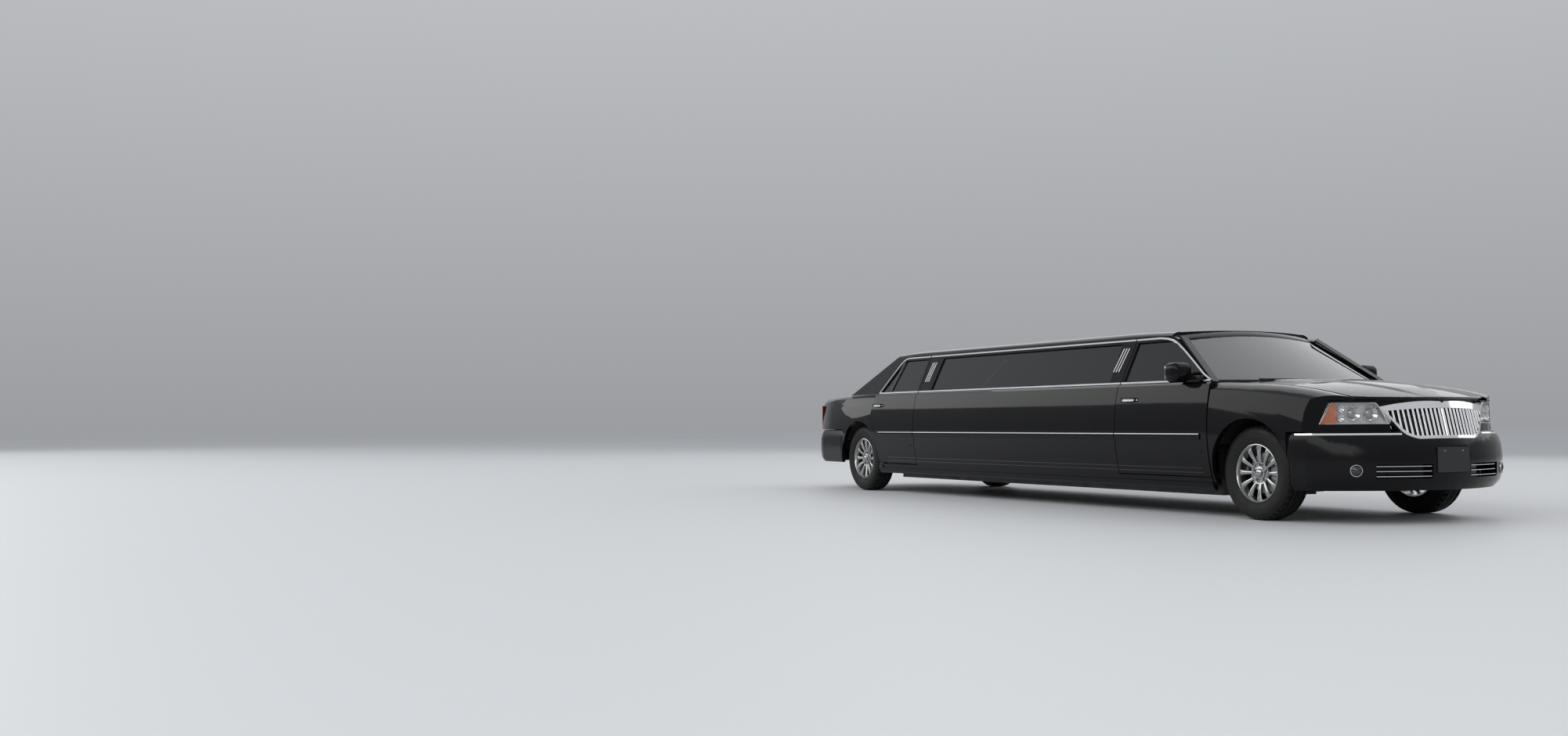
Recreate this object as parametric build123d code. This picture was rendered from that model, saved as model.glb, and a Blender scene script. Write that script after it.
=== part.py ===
from build123d import *
import os
from math import atan2, cos, degrees, hypot, pi, radians, sin

os.makedirs("parts", exist_ok=True)

# Stretch limousine. Millimetres, X forward, Y to the left, Z up, origin on the ground
# under the middle of the overall length.

# Overall sizes
BASE_WHEELBASE = 2990.0
STRETCH = 3048.0
FRONT_OVERHANG = 1006.0
REAR_OVERHANG = 1330.0
BODY_WIDTH = 1986.0
BODY_HEIGHT = 1512.0
PANEL_GAP = 8.0

# Running gear
TYRE_RADIUS = 351.0
TYRE_WIDTH = 225.0
RIM_RADIUS = 226.0
FRONT_TRACK = 1610.0
REAR_TRACK = 1640.0
SPOKES = 12
ARCH_RADIUS = 408.0
KINGPIN_Y = 770.0

# Body heights
SILL_BOTTOM = 250.0
SILL_TOP = 304.0
BELT_Z = 1048.0
RAIL_Z = 1432.0
FLOOR_TOP = 290.0
FLOOR_HALF = 852.0
BUMPER_TOP = 655.0
BUMPER_BOTTOM = 240.0

# Wall thicknesses
DOOR_THICKNESS = 70.0
FRAME_THICKNESS = 46.0
SKIN = 30.0
GLASS = 6.0

# Stations along the car: F is the front axle, R the rear axle
WHEELBASE = BASE_WHEELBASE + STRETCH
XF = (WHEELBASE + REAR_OVERHANG - FRONT_OVERHANG) / 2
XR = XF - WHEELBASE
X_NOSE = XF + FRONT_OVERHANG
X_TAIL = XR - REAR_OVERHANG
DOOR_F0 = XF - 431
DOOR_F1 = XF - 1552
DOOR_R0 = XR + 1192
DOOR_R1 = XR + 300
HALF = BODY_WIDTH / 2

# Half section of the cabin wall
SILL_Y = HALF - 63
MAX_Z = 620.0
BELT_Y = HALF - 41
GLASS_Y = HALF - 69
RAIL_Y = HALF - 248
LEAN = (GLASS_Y - RAIL_Y) / (RAIL_Z - BELT_Z)
RAIL_DROP = 18.0
ROOF_LIFT = 6.0


def outline(start, steps):
    """Closed wire from a start point and steps: one point makes a line, two points an arc."""
    edges = []
    first = Vector(*start)
    at = first
    for step in steps:
        end = Vector(*step[-1])
        if len(step) == 1:
            edges.append(Edge.make_line(at, end))
        else:
            edges.append(Edge.make_three_point_arc(at, Vector(*step[0]), end))
        at = end
    if (at - first).length > 1e-6:
        edges.append(Edge.make_line(at, first))
    return Wire(edges)


def push(wire, move):
    """Solid made by pushing a closed flat wire along a vector."""
    return Solid.extrude(Face(wire), Vector(*move))


def side_prism(points, y0, y1):
    """Side-view polygon of X, Z points pushed from y0 to y1."""
    wire = Wire.make_polygon([Vector(x, y0, z) for x, z in points], close=True)
    return push(wire, (0, y1 - y0, 0))


def plan_prism(points, z0, z1):
    """Plan-view polygon of X, Y points pushed from z0 to z1."""
    wire = Wire.make_polygon([Vector(x, y, z0) for x, y in points], close=True)
    return push(wire, (0, 0, z1 - z0))


def box(x0, x1, y0, y1, z0, z1):
    """Box between two corners."""
    return push(
        Wire.make_polygon(
            [Vector(x0, y0, z0), Vector(x1, y0, z0), Vector(x1, y1, z0), Vector(x0, y1, z0)],
            close=True,
        ),
        (0, 0, z1 - z0),
    )


def rod(start, end, radius):
    """Round bar between two points."""
    a = Vector(*start)
    b = Vector(*end)
    return Solid.make_cylinder(radius, (b - a).length, Plane(origin=a, z_dir=(b - a)))


def wheel_cylinder(x, z, radius, y0, y1):
    """Cylinder about a line across the car."""
    return Solid.make_cylinder(radius, y1 - y0, Plane(origin=(x, y0, z), z_dir=(0, 1, 0)))


def right(shape):
    """The same piece on the right side."""
    return mirror(shape, about=Plane.XZ)


def joined(pieces):
    """Pieces fused into one."""
    whole = pieces[0]
    for piece in pieces[1:]:
        whole = whole + piece
    return whole


def save(node, shape):
    """Write one node."""
    export_step(shape if isinstance(shape, (Solid, Compound)) else Compound(shape.solids()), f"parts/{node}.step")


# Cabin wall, left side, one section all along the cabin
def wall(x0, x1, lift=0.0):
    """Left wall of the cabin between two stations, sill to roof rail; lift closes it on the roof."""
    t = DOOR_THICKNESS
    f = FRAME_THICKNESS
    y_top = RAIL_Y - LEAN * lift
    wire = outline(
        (x0, SILL_Y - t, SILL_BOTTOM),
        [
            [(x0, SILL_Y, SILL_BOTTOM)],
            [(x0, HALF, MAX_Z), (x0, BELT_Y, BELT_Z - 20)],
            [(x0, GLASS_Y, BELT_Z)],
            [(x0, y_top, RAIL_Z + lift)],
            [(x0, y_top - f, RAIL_Z + lift - RAIL_DROP)],
            [(x0, GLASS_Y - f, BELT_Z)],
            [(x0, BELT_Y - t, BELT_Z - 20)],
            [(x0, HALF - t, MAX_Z), (x0, SILL_Y - t, SILL_BOTTOM)],
        ],
    )
    return push(wire, (x1 - x0, 0, 0))


def pane(x0, x1, z0, z1, inset):
    """Flat sheet of side glass in the plane of the leaning upper wall."""
    y0 = GLASS_Y - LEAN * (z0 - BELT_Z) - inset
    y1 = GLASS_Y - LEAN * (z1 - BELT_Z) - inset
    wire = Wire.make_polygon(
        [Vector(x0, y0, z0), Vector(x0, y1, z1), Vector(x0, y1 - GLASS, z1), Vector(x0, y0 - GLASS, z0)],
        close=True,
    )
    return push(wire, (x1 - x0, 0, 0))


g = PANEL_GAP / 2
WIN_Z0 = BELT_Z + 24
WIN_Z1 = RAIL_Z - 36

# Front doors: outline in side view, from the bottom front corner round
front_door_edge = [
    (DOOR_F0 - g, SILL_TOP + 2 * g),
    (DOOR_F0 - g, BELT_Z - 8),
    (XF - 1022, RAIL_Z - 24),
    (XF - 1080, RAIL_Z + 2),
    (DOOR_F1 + g + 14, RAIL_Z + 2),
    (DOOR_F1 + g, BELT_Z),
    (DOOR_F1 + g, SILL_TOP + 2 * g),
]
front_window = [
    (XF - 500, WIN_Z0),
    (XF - 1040, WIN_Z1 - 14),
    (XF - 1085, WIN_Z1),
    (DOOR_F1 + 44, WIN_Z1),
    (DOOR_F1 + 32, WIN_Z0),
]
front_wall = wall(DOOR_F1, XF - 400)
front_door = front_wall & side_prism(front_door_edge, 0, 1100)
front_hole = side_prism(front_window, 0, 1100)
front_door = front_door - front_hole
handle_z = 918.0


def handle(x, z):
    """Pull handle on the outside of a left door."""
    return box(x - 95, x + 95, HALF - 22, HALF - 2, z - 14, z + 14)


front_door = front_door + handle(XF - 1376, handle_z)
front_glass = pane(DOOR_F1, XF - 400, WIN_Z0, WIN_Z1, 14) & front_hole

# Rear doors
rear_arc = [
    (XR + 480 * cos(radians(a)), TYRE_RADIUS + 480 * sin(radians(a)))
    for a in (-4, 8, 20, 32, 44, 54)
]
rear_door_edge = (
    [(DOOR_R0 - g, SILL_TOP + 2 * g)]
    + [(x, max(z, SILL_TOP + 2 * g)) for x, z in rear_arc]
    + [
        (XR + 268, 800),
        (XR + 350, BELT_Z),
        (XR + 640, RAIL_Z + 2),
        (DOOR_R0 - g - 14, RAIL_Z + 2),
        (DOOR_R0 - g, BELT_Z),
    ]
)
rear_window_edge = [
    (XR + 410, WIN_Z0),
    (XR + 652, WIN_Z1),
    (DOOR_R0 - 46, WIN_Z1),
    (DOOR_R0 - 34, WIN_Z0),
]
rear_wall = wall(XR + 200, DOOR_R0)
rear_door = rear_wall & side_prism(rear_door_edge, 0, 1100)
rear_hole = side_prism(rear_window_edge, 0, 1100)
rear_door = rear_door - rear_hole
rear_door = rear_door + handle(XR + 432, handle_z + 8)
rear_glass = pane(XR + 200, DOOR_R0, WIN_Z0, WIN_Z1, 14) & rear_hole

# Door hinges: close under the skin, a knuckle of the door stands on a knuckle of the post
HINGE_Y = HALF - 18
HINGE_BACK = 60.0 + g
HINGE_Z = (520.0, 760.0)
HINGE_R = 7.0
HINGE_H = 16.0
PIN_F = DOOR_F0 - HINGE_BACK
PIN_R = DOOR_R0 - HINGE_BACK


def hinge_room(x):
    """Pockets in the door, open towards the inside and the front."""
    plan = [(-12, -100), (-12, 8), (-6, 10), (4, 10), (84, -27), (84, -100)]
    points = [(x + dx, HINGE_Y + dy) for dx, dy in plan]
    return [plan_prism(points, z - HINGE_H - 6, z + HINGE_H + 6) for z in HINGE_Z]


def hinge_on_door(x):
    """Knuckles of the door, above the split."""
    pieces = []
    for z in HINGE_Z:
        pieces.append(rod((x, HINGE_Y, z), (x, HINGE_Y, z + HINGE_H), HINGE_R))
        pieces.append(box(x - 20, x, HINGE_Y - 6, HINGE_Y + 4, z, z + HINGE_H))
    return pieces


def hinge_on_post(x, y_foot):
    """Knuckles of the post, below the split, on straps that run inwards."""
    pieces = []
    for z in HINGE_Z:
        pieces.append(rod((x, HINGE_Y, z - HINGE_H), (x, HINGE_Y, z), HINGE_R))
        pieces.append(box(x - 6, x + 6, y_foot, HINGE_Y, z - HINGE_H, z))
    return pieces


for pocket in hinge_room(PIN_F):
    front_door = front_door - pocket
for pocket in hinge_room(PIN_R):
    rear_door = rear_door - pocket
front_door = joined([front_door] + hinge_on_door(PIN_F))
rear_door = joined([rear_door] + hinge_on_door(PIN_R))

# Stretch sides between the doors
stretch_edge = [
    (DOOR_F1 - g, SILL_TOP),
    (DOOR_F1 - g, BELT_Z),
    (DOOR_F1 - g + 14.5, RAIL_Z + 20),
    (DOOR_R0 + g - 14.5, RAIL_Z + 20),
    (DOOR_R0 + g, BELT_Z),
    (DOOR_R0 + g, SILL_TOP),
]
long_window = [
    (DOOR_F1 - 158, WIN_Z0),
    (DOOR_F1 - 166, WIN_Z1),
    (DOOR_R0 + 250, WIN_Z1),
    (DOOR_R0 + 230, WIN_Z0),
]
stretch_side = wall(DOOR_R0 - 20, DOOR_F1 + 20, ROOF_LIFT) & side_prism(stretch_edge, 0, 1100)
long_hole = side_prism(long_window, 0, 1100)
stretch_side = stretch_side - long_hole
long_glass = pane(DOOR_R0, DOOR_F1, WIN_Z0, WIN_Z1, 14) & long_hole
STRAP_Y = HALF - 118
straps = hinge_on_post(PIN_R, STRAP_Y)
for z in HINGE_Z:
    straps.append(box(PIN_R - 6, DOOR_R0 + 60, STRAP_Y, STRAP_Y + 12, z - HINGE_H, z))
    straps.append(box(DOOR_R0 + 30, DOOR_R0 + 60, STRAP_Y, HALF - 60, z - HINGE_H, z))
stretch_side = joined([stretch_side] + straps)

# Rockers under the doors
rocker = wall(XR + 484, DOOR_F0) & box(XR + 484, DOOR_F0, 0, 1100, 0, SILL_TOP)
rocker = rocker + box(XR + 720, DOOR_F0, FLOOR_HALF, SILL_Y - 40, SILL_BOTTOM, SILL_TOP - 4)

# Front end: sections of the fenders and hood, x ahead of the front axle
#    x, sill half, sill z, widest half, z, shoulder half, z, seam half, z, centre z
FRONT_SECTIONS = [
    (-425, 923, 250, 993, 620, 952, 985, 770, 1036, 1066),
    (-60, 923, 250, 992, 620, 950, 966, 755, 1020, 1052),
    (280, 918, 255, 984, 615, 938, 934, 730, 990, 1024),
    (600, 900, 270, 960, 610, 908, 886, 690, 932, 970),
    (930, 860, 290, 915, 600, 850, 802, 620, 846, 884),
]


def front_section(row):
    """Closed outer section of the front end at one station."""
    x, ys, zs, ym, zm, yh, zh, yt, zt, zc = row
    X = XF + x
    half = [
        (X, ys, zs),
        (X, ym, zm),
        (X, yh, zh),
        (X, (yh + yt) / 2 + 26, (zh + zt) / 2 + 16),
        (X, yt, zt),
        (X, 0, zc),
    ]
    other = [(X, -y, z) for X, y, z in half]
    return outline(
        half[0],
        [
            [half[1], half[2]],
            [half[3], half[4]],
            [half[5], other[4]],
            [other[3], other[2]],
            [other[1], other[0]],
        ],
    )


def fender_section(row, t):
    """Closed section of the left fender at one station."""
    x, ys, zs, ym, zm, yh, zh, yt, zt, zc = row
    X = XF + x
    ya = (yh + yt) / 2 + 26
    za = (zh + zt) / 2 + 16
    return outline(
        (X, ys, zs),
        [
            [(X, ym, zm), (X, yh, zh)],
            [(X, ya, za), (X, yt, zt)],
            [(X, yt, zt - t)],
            [(X, ya - t * 0.6, za - t), (X, yh - t, zh - t * 0.8)],
            [(X, ym - t, zm), (X, ys - t, zs)],
        ],
    )


def hood_section(row, t):
    """Closed section of the hood at one station."""
    x, ys, zs, ym, zm, yh, zh, yt, zt, zc = row
    X = XF + x
    y = yt - PANEL_GAP
    return outline(
        (X, y, zt),
        [
            [(X, 0, zc), (X, -y, zt)],
            [(X, -y, zt - t)],
            [(X, 0, zc - t), (X, y, zt - t)],
        ],
    )


front_outer = Solid.make_loft([front_section(row) for row in FRONT_SECTIONS])


def nose(back, height0, height1):
    """Space behind the rounded front of the car in plan, set back by a distance."""
    wire = outline(
        (XF - 430, -1100, height0),
        [
            [(XF + 500 - back, -1100, height0)],
            [(XF + 530 - back, -945, height0)],
            [(XF + 915 - back, 0, height0), (XF + 530 - back, 945, height0)],
            [(XF + 500 - back, 1100, height0)],
            [(XF - 430, 1100, height0)],
        ],
    )
    return push(wire, (0, 0, height1 - height0))


front_body = front_outer & nose(0, 200, 1200)
arch_front = wheel_cylinder(XF, TYRE_RADIUS, ARCH_RADIUS, -1100, 1100)

# Hood, cut round at the nose and at the cowl
HOOD_BACK = XF - 302
cowl_arc = outline(
    (XF - 700, -1000, 700),
    [
        [(HOOD_BACK - 144, -780, 700)],
        [(HOOD_BACK + 10, 0, 700), (HOOD_BACK - 144, 780, 700)],
        [(XF - 700, 1000, 700)],
    ],
)
cowl_space = push(cowl_arc, (0, 0, 500))
hood = Solid.make_loft([hood_section(row, SKIN) for row in FRONT_SECTIONS])
hood = (hood & nose(38, 700, 1200)) - cowl_space

# Hood hinge at both rear corners: a lug on the hood beside a lug on the cowl
HOOD_PIN_X = XF - 436
HOOD_PIN_Z = 1024.0
hood_lug = wheel_cylinder(HOOD_PIN_X, HOOD_PIN_Z, 8, 702, 716)
hood_lug = hood_lug + box(HOOD_PIN_X, XF - 390, 702, 716, HOOD_PIN_Z - 8, HOOD_PIN_Z + 4)
cowl_lug = wheel_cylinder(HOOD_PIN_X, HOOD_PIN_Z, 8, 688, 702)
cowl_lug = cowl_lug + box(XF - 470, HOOD_PIN_X, 688, 702, HOOD_PIN_Z - 8, HOOD_PIN_Z + 8)
hood = hood + hood_lug + right(hood_lug)

# Lamp openings in the front corners
LAMP_Z0 = 712.0
LAMP_Z1 = 864.0


def lamp_space(grow):
    """Space of one headlamp, left side."""
    front_view = Wire.make_polygon(
        [
            Vector(XF + 400, 441 - grow, LAMP_Z0 - grow),
            Vector(XF + 400, 1000, LAMP_Z0 - grow),
            Vector(XF + 400, 1000, LAMP_Z1 + grow),
            Vector(XF + 400, 532 - grow, LAMP_Z1 + grow),
        ],
        close=True,
    )
    body = push(front_view, (700, 0, 0))
    side = side_prism(
        [
            (XF + 586 - grow, LAMP_Z0 - 40),
            (XF + 652 - grow, LAMP_Z1 + 40),
            (XF + 1200, LAMP_Z1 + 40),
            (XF + 1200, LAMP_Z0 - 40),
        ],
        0,
        1100,
    )
    return body & side


lamp = front_body & lamp_space(0) & box(XF, XF + 1100, 0, 1000, 0, 1200)
fender_left = Solid.make_loft([fender_section(row, SKIN) for row in FRONT_SECTIONS])
fender_left = fender_left & nose(0, 200, 1200)
fender_left = fender_left - arch_front - lamp_space(0)
fender_left = fender_left - box(XF + 380, XF + 1200, 0, 1100, 0, BUMPER_TOP + 4)
fender_left = fender_left + box(XF - 450, XF - 385, 790, 832, 900, 950)
fender_left = fender_left + box(XF - 412, XF - 385, 800, 932, 900, 950)

# Front bumper: plan rings of height and set-back, joined by slopes
FRONT_RINGS = [(BUMPER_BOTTOM, 58), (290, 20), (350, 3), (470, 0), (560, 8), (615, 24), (BUMPER_TOP, 50)]


def bumper_front(z0, shrink):
    """Plan ring of the front bumper at one height."""
    s = shrink
    t = 110
    return outline(
        (XF + 425, HALF - 20 - s * 0.4, z0),
        [
            [(XF + 540, HALF - 30 - s * 0.5, z0)],
            [(XF + 650 - s * 0.7, HALF - 76 - s * 0.7, z0), (XF + 716 - s, HALF - 140 - s * 0.5, z0)],
            [(X_NOSE - s, 0, z0), (XF + 716 - s, -(HALF - 140 - s * 0.5), z0)],
            [(XF + 650 - s * 0.7, -(HALF - 76 - s * 0.7), z0), (XF + 540, -(HALF - 30 - s * 0.5), z0)],
            [(XF + 425, -(HALF - 20 - s * 0.4), z0)],
            [(XF + 425, -(HALF - 80), z0)],
            [(XF + 540, -(HALF - 90), z0)],
            [(XF + 640 - t * 0.4, -(HALF - 190), z0)],
            [(X_NOSE - t, 0, z0), (XF + 640 - t * 0.4, HALF - 190, z0)],
            [(XF + 540, HALF - 90, z0)],
            [(XF + 425, HALF - 80, z0)],
        ],
    )


def stacked(ring, rows):
    """Slopes between neighbouring rings, fused."""
    pairs = zip(rows[:-1], rows[1:])
    return joined([Solid.make_loft([ring(*a), ring(*b)], ruled=True) for a, b in pairs])


front_bumper = stacked(bumper_front, FRONT_RINGS)

# Air intakes in the bumper, left and right of the plate
INTAKE_Z0 = 326.0
INTAKE_Z1 = 428.0
intake = box(XF + 700, X_NOSE + 50, 190, 606, INTAKE_Z0, INTAKE_Z1)
intake_back = push(
    outline(
        (XF + 640, 700, INTAKE_Z0 - 10),
        [
            [(XF + 670, 700, INTAKE_Z0 - 10)],
            [(X_NOSE - 60, 0, INTAKE_Z0 - 10), (XF + 670, -700, INTAKE_Z0 - 10)],
            [(XF + 640, -700, INTAKE_Z0 - 10)],
        ],
    ),
    (0, 0, INTAKE_Z1 - INTAKE_Z0 + 20),
)
intake = intake - intake_back
front_bumper = front_bumper - intake - right(intake)

# Rear quarters: sections of the left rear wall, x behind or ahead of the rear axle
#    x, sill half, widest half, shoulder half, shoulder z, seam half, seam z
REAR_SECTIONS = [
    (600, 923, 993, 952, 1010, 760, 1046),
    (150, 923, 991, 948, 1008, 752, 1046),
    (-350, 916, 978, 930, 1002, 734, 1042),
    (-800, 890, 938, 886, 990, 704, 1032),
    (-1190, 840, 872, 816, 968, 668, 1014),
]


def rear_section(row, t):
    """Closed section of the left rear wall at one station."""
    x, ys, ym, yh, zh, yt, zt = row
    X = XR + x
    return outline(
        (X, ys, SILL_BOTTOM),
        [
            [(X, ym, MAX_Z), (X, yh, zh)],
            [(X, (yh + yt) / 2 + 22, (zh + zt) / 2 + 12), (X, yt, zt)],
            [(X, yt, zt - t)],
            [(X, (yh + yt) / 2 + 22 - t * 0.7, (zh + zt) / 2 + 12 - t), (X, yh - t, zh - t * 0.8)],
            [(X, ym - t, MAX_Z), (X, ys - t, SILL_BOTTOM)],
        ],
    )


quarter = Solid.make_loft([rear_section(row, 44) for row in REAR_SECTIONS])
rear_door_space = side_prism(
    [(XR + 1300, SILL_TOP - 100)]
    + [
        (XR + 474 * cos(radians(a)), TYRE_RADIUS + 474 * sin(radians(a)))
        for a in (-20, -4, 8, 20, 32, 44, 54)
    ]
    + [
        (XR + 260, 800),
        (XR + 343, BELT_Z),
        (XR + 633, RAIL_Z + 2),
        (XR + 640, RAIL_Z + 40),
        (XR + 1300, RAIL_Z + 40),
    ],
    0,
    1100,
)
quarter = quarter & box(XR - 1190, XR + 478, 0, 1100, 0, 1200)
quarter = quarter - wheel_cylinder(XR, TYRE_RADIUS, ARCH_RADIUS, 0, 1100)
quarter = quarter - box(XR - 1400, XR - 380, 0, 1100, 0, 560)

# Rear pillars, leaning from the quarter to the roof
pillar_rear = Solid.make_loft(
    [
        Wire.make_polygon(
            [
                Vector(XR + 340, GLASS_Y, BELT_Z - 40 + 40),
                Vector(XR - 320, GLASS_Y - 36, BELT_Z),
                Vector(XR - 320, GLASS_Y - 150, BELT_Z),
                Vector(XR + 340, GLASS_Y - 60, BELT_Z),
            ],
            close=True,
        ),
        Wire.make_polygon(
            [
                Vector(XR + 656, RAIL_Y - 10 * LEAN, RAIL_Z + 10),
                Vector(XR + 474, RAIL_Y - 10 * LEAN, RAIL_Z + 10),
                Vector(XR + 474, RAIL_Y - 90, RAIL_Z + 10),
                Vector(XR + 656, RAIL_Y - 60, RAIL_Z + 10),
            ],
            close=True,
        ),
    ],
    ruled=True,
)
pillar_foot = plan_prism(
    [
        (XR + 340, GLASS_Y),
        (XR - 320, GLASS_Y - 36),
        (XR - 320, GLASS_Y - 150),
        (XR + 340, GLASS_Y - 60),
    ],
    980,
    BELT_Z,
)
def rail_line(y):
    """Height of the roof's seat at a distance from the middle."""
    return RAIL_Z + ROOF_LIFT + RAIL_DROP * (y - RAIL_Y + LEAN * ROOF_LIFT) / FRAME_THICKNESS


under_rail = push(
    Wire.make_polygon(
        [
            Vector(XR - 2000, 1100, 200),
            Vector(XR - 2000, 1100, rail_line(1100)),
            Vector(XR - 2000, 400, rail_line(400)),
            Vector(XR - 2000, 400, 200),
        ],
        close=True,
    ),
    (WHEELBASE + 4000, 0, 0),
)
quarter = (quarter + pillar_rear + pillar_foot) - rear_door_space
quarter = quarter & under_rail

# Roof: sections at the ends drop towards the glass
ROOF_SECTIONS_FRONT = [(XF - 1030, 24), (XF - 1350, 8), (XF - 1750, 0)]
ROOF_SECTIONS_REAR = [(XR + 1000, 0), (XR + 720, 8), (XR + 470, 26)]


def roof_section(x, drop):
    """Closed section of the roof and its rails at one station."""
    top = BODY_HEIGHT - drop
    half = [
        (x, RAIL_Y - LEAN * ROOF_LIFT - FRAME_THICKNESS, RAIL_Z + ROOF_LIFT - RAIL_DROP),
        (x, RAIL_Y - LEAN * ROOF_LIFT, RAIL_Z + ROOF_LIFT),
        (x, RAIL_Y - 36, RAIL_Z + 38 - drop * 0.4),
        (x, RAIL_Y - 95, RAIL_Z + 54 - drop * 0.8),
        (x, 0, top),
    ]
    inner = [(x, RAIL_Y - 110, RAIL_Z + 14 - drop * 0.8), (x, 0, top - 38)]
    m = [(x, -y, z) for x, y, z in half]
    return outline(
        half[0],
        [
            [half[1]],
            [half[2], half[3]],
            [half[4], m[3]],
            [m[2], m[1]],
            [m[0]],
            [(x, -inner[0][1], inner[0][2])],
            [inner[1], inner[0]],
        ],
    )


roof_front = Solid.make_loft([roof_section(x, d) for x, d in ROOF_SECTIONS_FRONT])
roof_rear = Solid.make_loft([roof_section(x, d) for x, d in ROOF_SECTIONS_REAR])
roof_mid = push(roof_section(XR + 1000, 0), (XF - 1750 - XR - 1000, 0, 0))
header = outline(
    (XF, -900, 1300),
    [
        [(XF - 1110, -900, 1300)],
        [(XF - 1110, -680, 1300)],
        [(XF - 1044, 0, 1300), (XF - 1110, 680, 1300)],
        [(XF - 1110, 900, 1300)],
        [(XF, 900, 1300)],
    ],
)
roof = roof_front + roof_mid + roof_rear - push(header, (0, 0, 400))

# Windshield pillars
pillar_front = Solid.make_loft(
    [
        Wire.make_polygon(
            [
                Vector(XF - 426, GLASS_Y, BELT_Z),
                Vector(XF - 560, GLASS_Y, BELT_Z),
                Vector(XF - 560, GLASS_Y - 48, BELT_Z),
                Vector(XF - 426, GLASS_Y - 60, BELT_Z),
            ],
            close=True,
        ),
        Wire.make_polygon(
            [
                Vector(XF - 1014, RAIL_Y - 10 * LEAN, RAIL_Z + 10),
                Vector(XF - 1140, RAIL_Y - 10 * LEAN, RAIL_Z + 10),
                Vector(XF - 1140, RAIL_Y - 60, RAIL_Z + 10),
                Vector(XF - 1014, RAIL_Y - 70, RAIL_Z + 10),
            ],
            close=True,
        ),
    ],
    ruled=True,
)
front_door_space = side_prism(
    [
        (DOOR_F0 + g, SILL_TOP),
        (DOOR_F0 + g, BELT_Z - 4),
        (XF - 1010, RAIL_Z - 14),
        (XF - 1060, RAIL_Z + 3.9),
        (DOOR_F1, RAIL_Z + 3.9),
        (DOOR_F1, SILL_TOP),
    ],
    0,
    1100,
)
pillar_front = pillar_front + box(XF - 556, XF - 486, GLASS_Y - 80, GLASS_Y - 66, 1000, BELT_Z)
pillar_front = pillar_front + box(XF - 556, XF - 486, GLASS_Y - 80, GLASS_Y - 50, BELT_Z, BELT_Z + 12)
pillar_front = (pillar_front - front_door_space) & under_rail

# Windshield and rear window: ruled between a lower and an upper arc
def sheet(arcs):
    """Curved glass between two arcs, each of an end point, a middle point and a depth."""
    wires = []
    for end, mid, depth in arcs:
        e = Vector(*end)
        m = Vector(*mid)
        o = Vector(end[0], -end[1], end[2])
        s = Vector(end[0] - mid[0], 0, end[2] - mid[2]).normalized() * depth
        wires.append(
            Wire(
                [
                    Edge.make_three_point_arc(e, m, o),
                    Edge.make_line(o, o + s),
                    Edge.make_three_point_arc(o + s, m + s, e + s),
                    Edge.make_line(e + s, e),
                ]
            )
        )
    return Solid.make_loft(wires, ruled=True)


windshield = sheet(
    [
        ((XF - 494, GLASS_Y - 74, BELT_Z + 12), (XF - 342, 0, BELT_Z + 12), 14),
        ((XF - 1086, RAIL_Y - 84, RAIL_Z + 8), (XF - 1034, 0, BODY_HEIGHT - 30), 8),
    ]
)
rear_window = sheet(
    [
        ((XR - 330, GLASS_Y - 172, BELT_Z + 8), (XR - 452, 0, BELT_Z + 8), 14),
        ((XR + 460, RAIL_Y - 108, RAIL_Z + 6), (XR + 452, 0, BODY_HEIGHT - 34), 9),
    ]
)

# Cowl and firewall under the windshield
cowl_top = push(
    outline(
        (XF - 560, -GLASS_Y + 80, 985),
        [
            [(XF - 482, -GLASS_Y + 80, 985)],
            [(XF - 482, -780, 985)],
            [(XF - 334, 0, 985), (XF - 482, 780, 985)],
            [(XF - 482, GLASS_Y - 80, 985)],
            [(XF - 560, GLASS_Y - 80, 985)],
        ],
    ),
    (0, 0, BELT_Z + 12 - 985),
)
firewall = box(XF - 480, XF - 450, -840, 840, FLOOR_TOP, 985)
POST_Y = 836.0
post = joined(
    hinge_on_post(PIN_F, POST_Y)
    + [box(PIN_F - 6, XF - 455, POST_Y, POST_Y + 12, z - HINGE_H, z) for z in HINGE_Z]
)
firewall = firewall + post + right(post)
cowl = cowl_top + firewall + cowl_lug + right(cowl_lug)

# Trunk lid: crowned top and rear face
LID_BACK = XR - 1220
lid_section = outline(
    (XR - 490, -662, 1010),
    [
        [(XR - 490, -662, 1046)],
        [(XR - 490, 0, 1058), (XR - 490, 662, 1046)],
        [(XR - 490, 662, 1010)],
        [(XR - 490, 0, 1022), (XR - 490, -662, 1010)],
    ],
)
lid_top = push(lid_section, (LID_BACK - XR + 490, 0, -32))
lid_back = push(
    outline(
        (LID_BACK - 34, -600, 672),
        [
            [(LID_BACK - 66, 0, 672), (LID_BACK - 34, 600, 672)],
            [(LID_BACK, 600, 672)],
            [(LID_BACK - 32, 0, 672), (LID_BACK, -600, 672)],
        ],
    ),
    (0, 0, 320),
)
lid_lip = push(
    outline(
        (LID_BACK - 34, -600, 976),
        [
            [(LID_BACK - 66, 0, 976), (LID_BACK - 34, 600, 976)],
            [(LID_BACK + 60, 600, 976)],
            [(LID_BACK + 60, -600, 976)],
        ],
    ),
    (0, 0, 36),
)
trunk_lid = lid_top + lid_back + lid_lip

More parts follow.
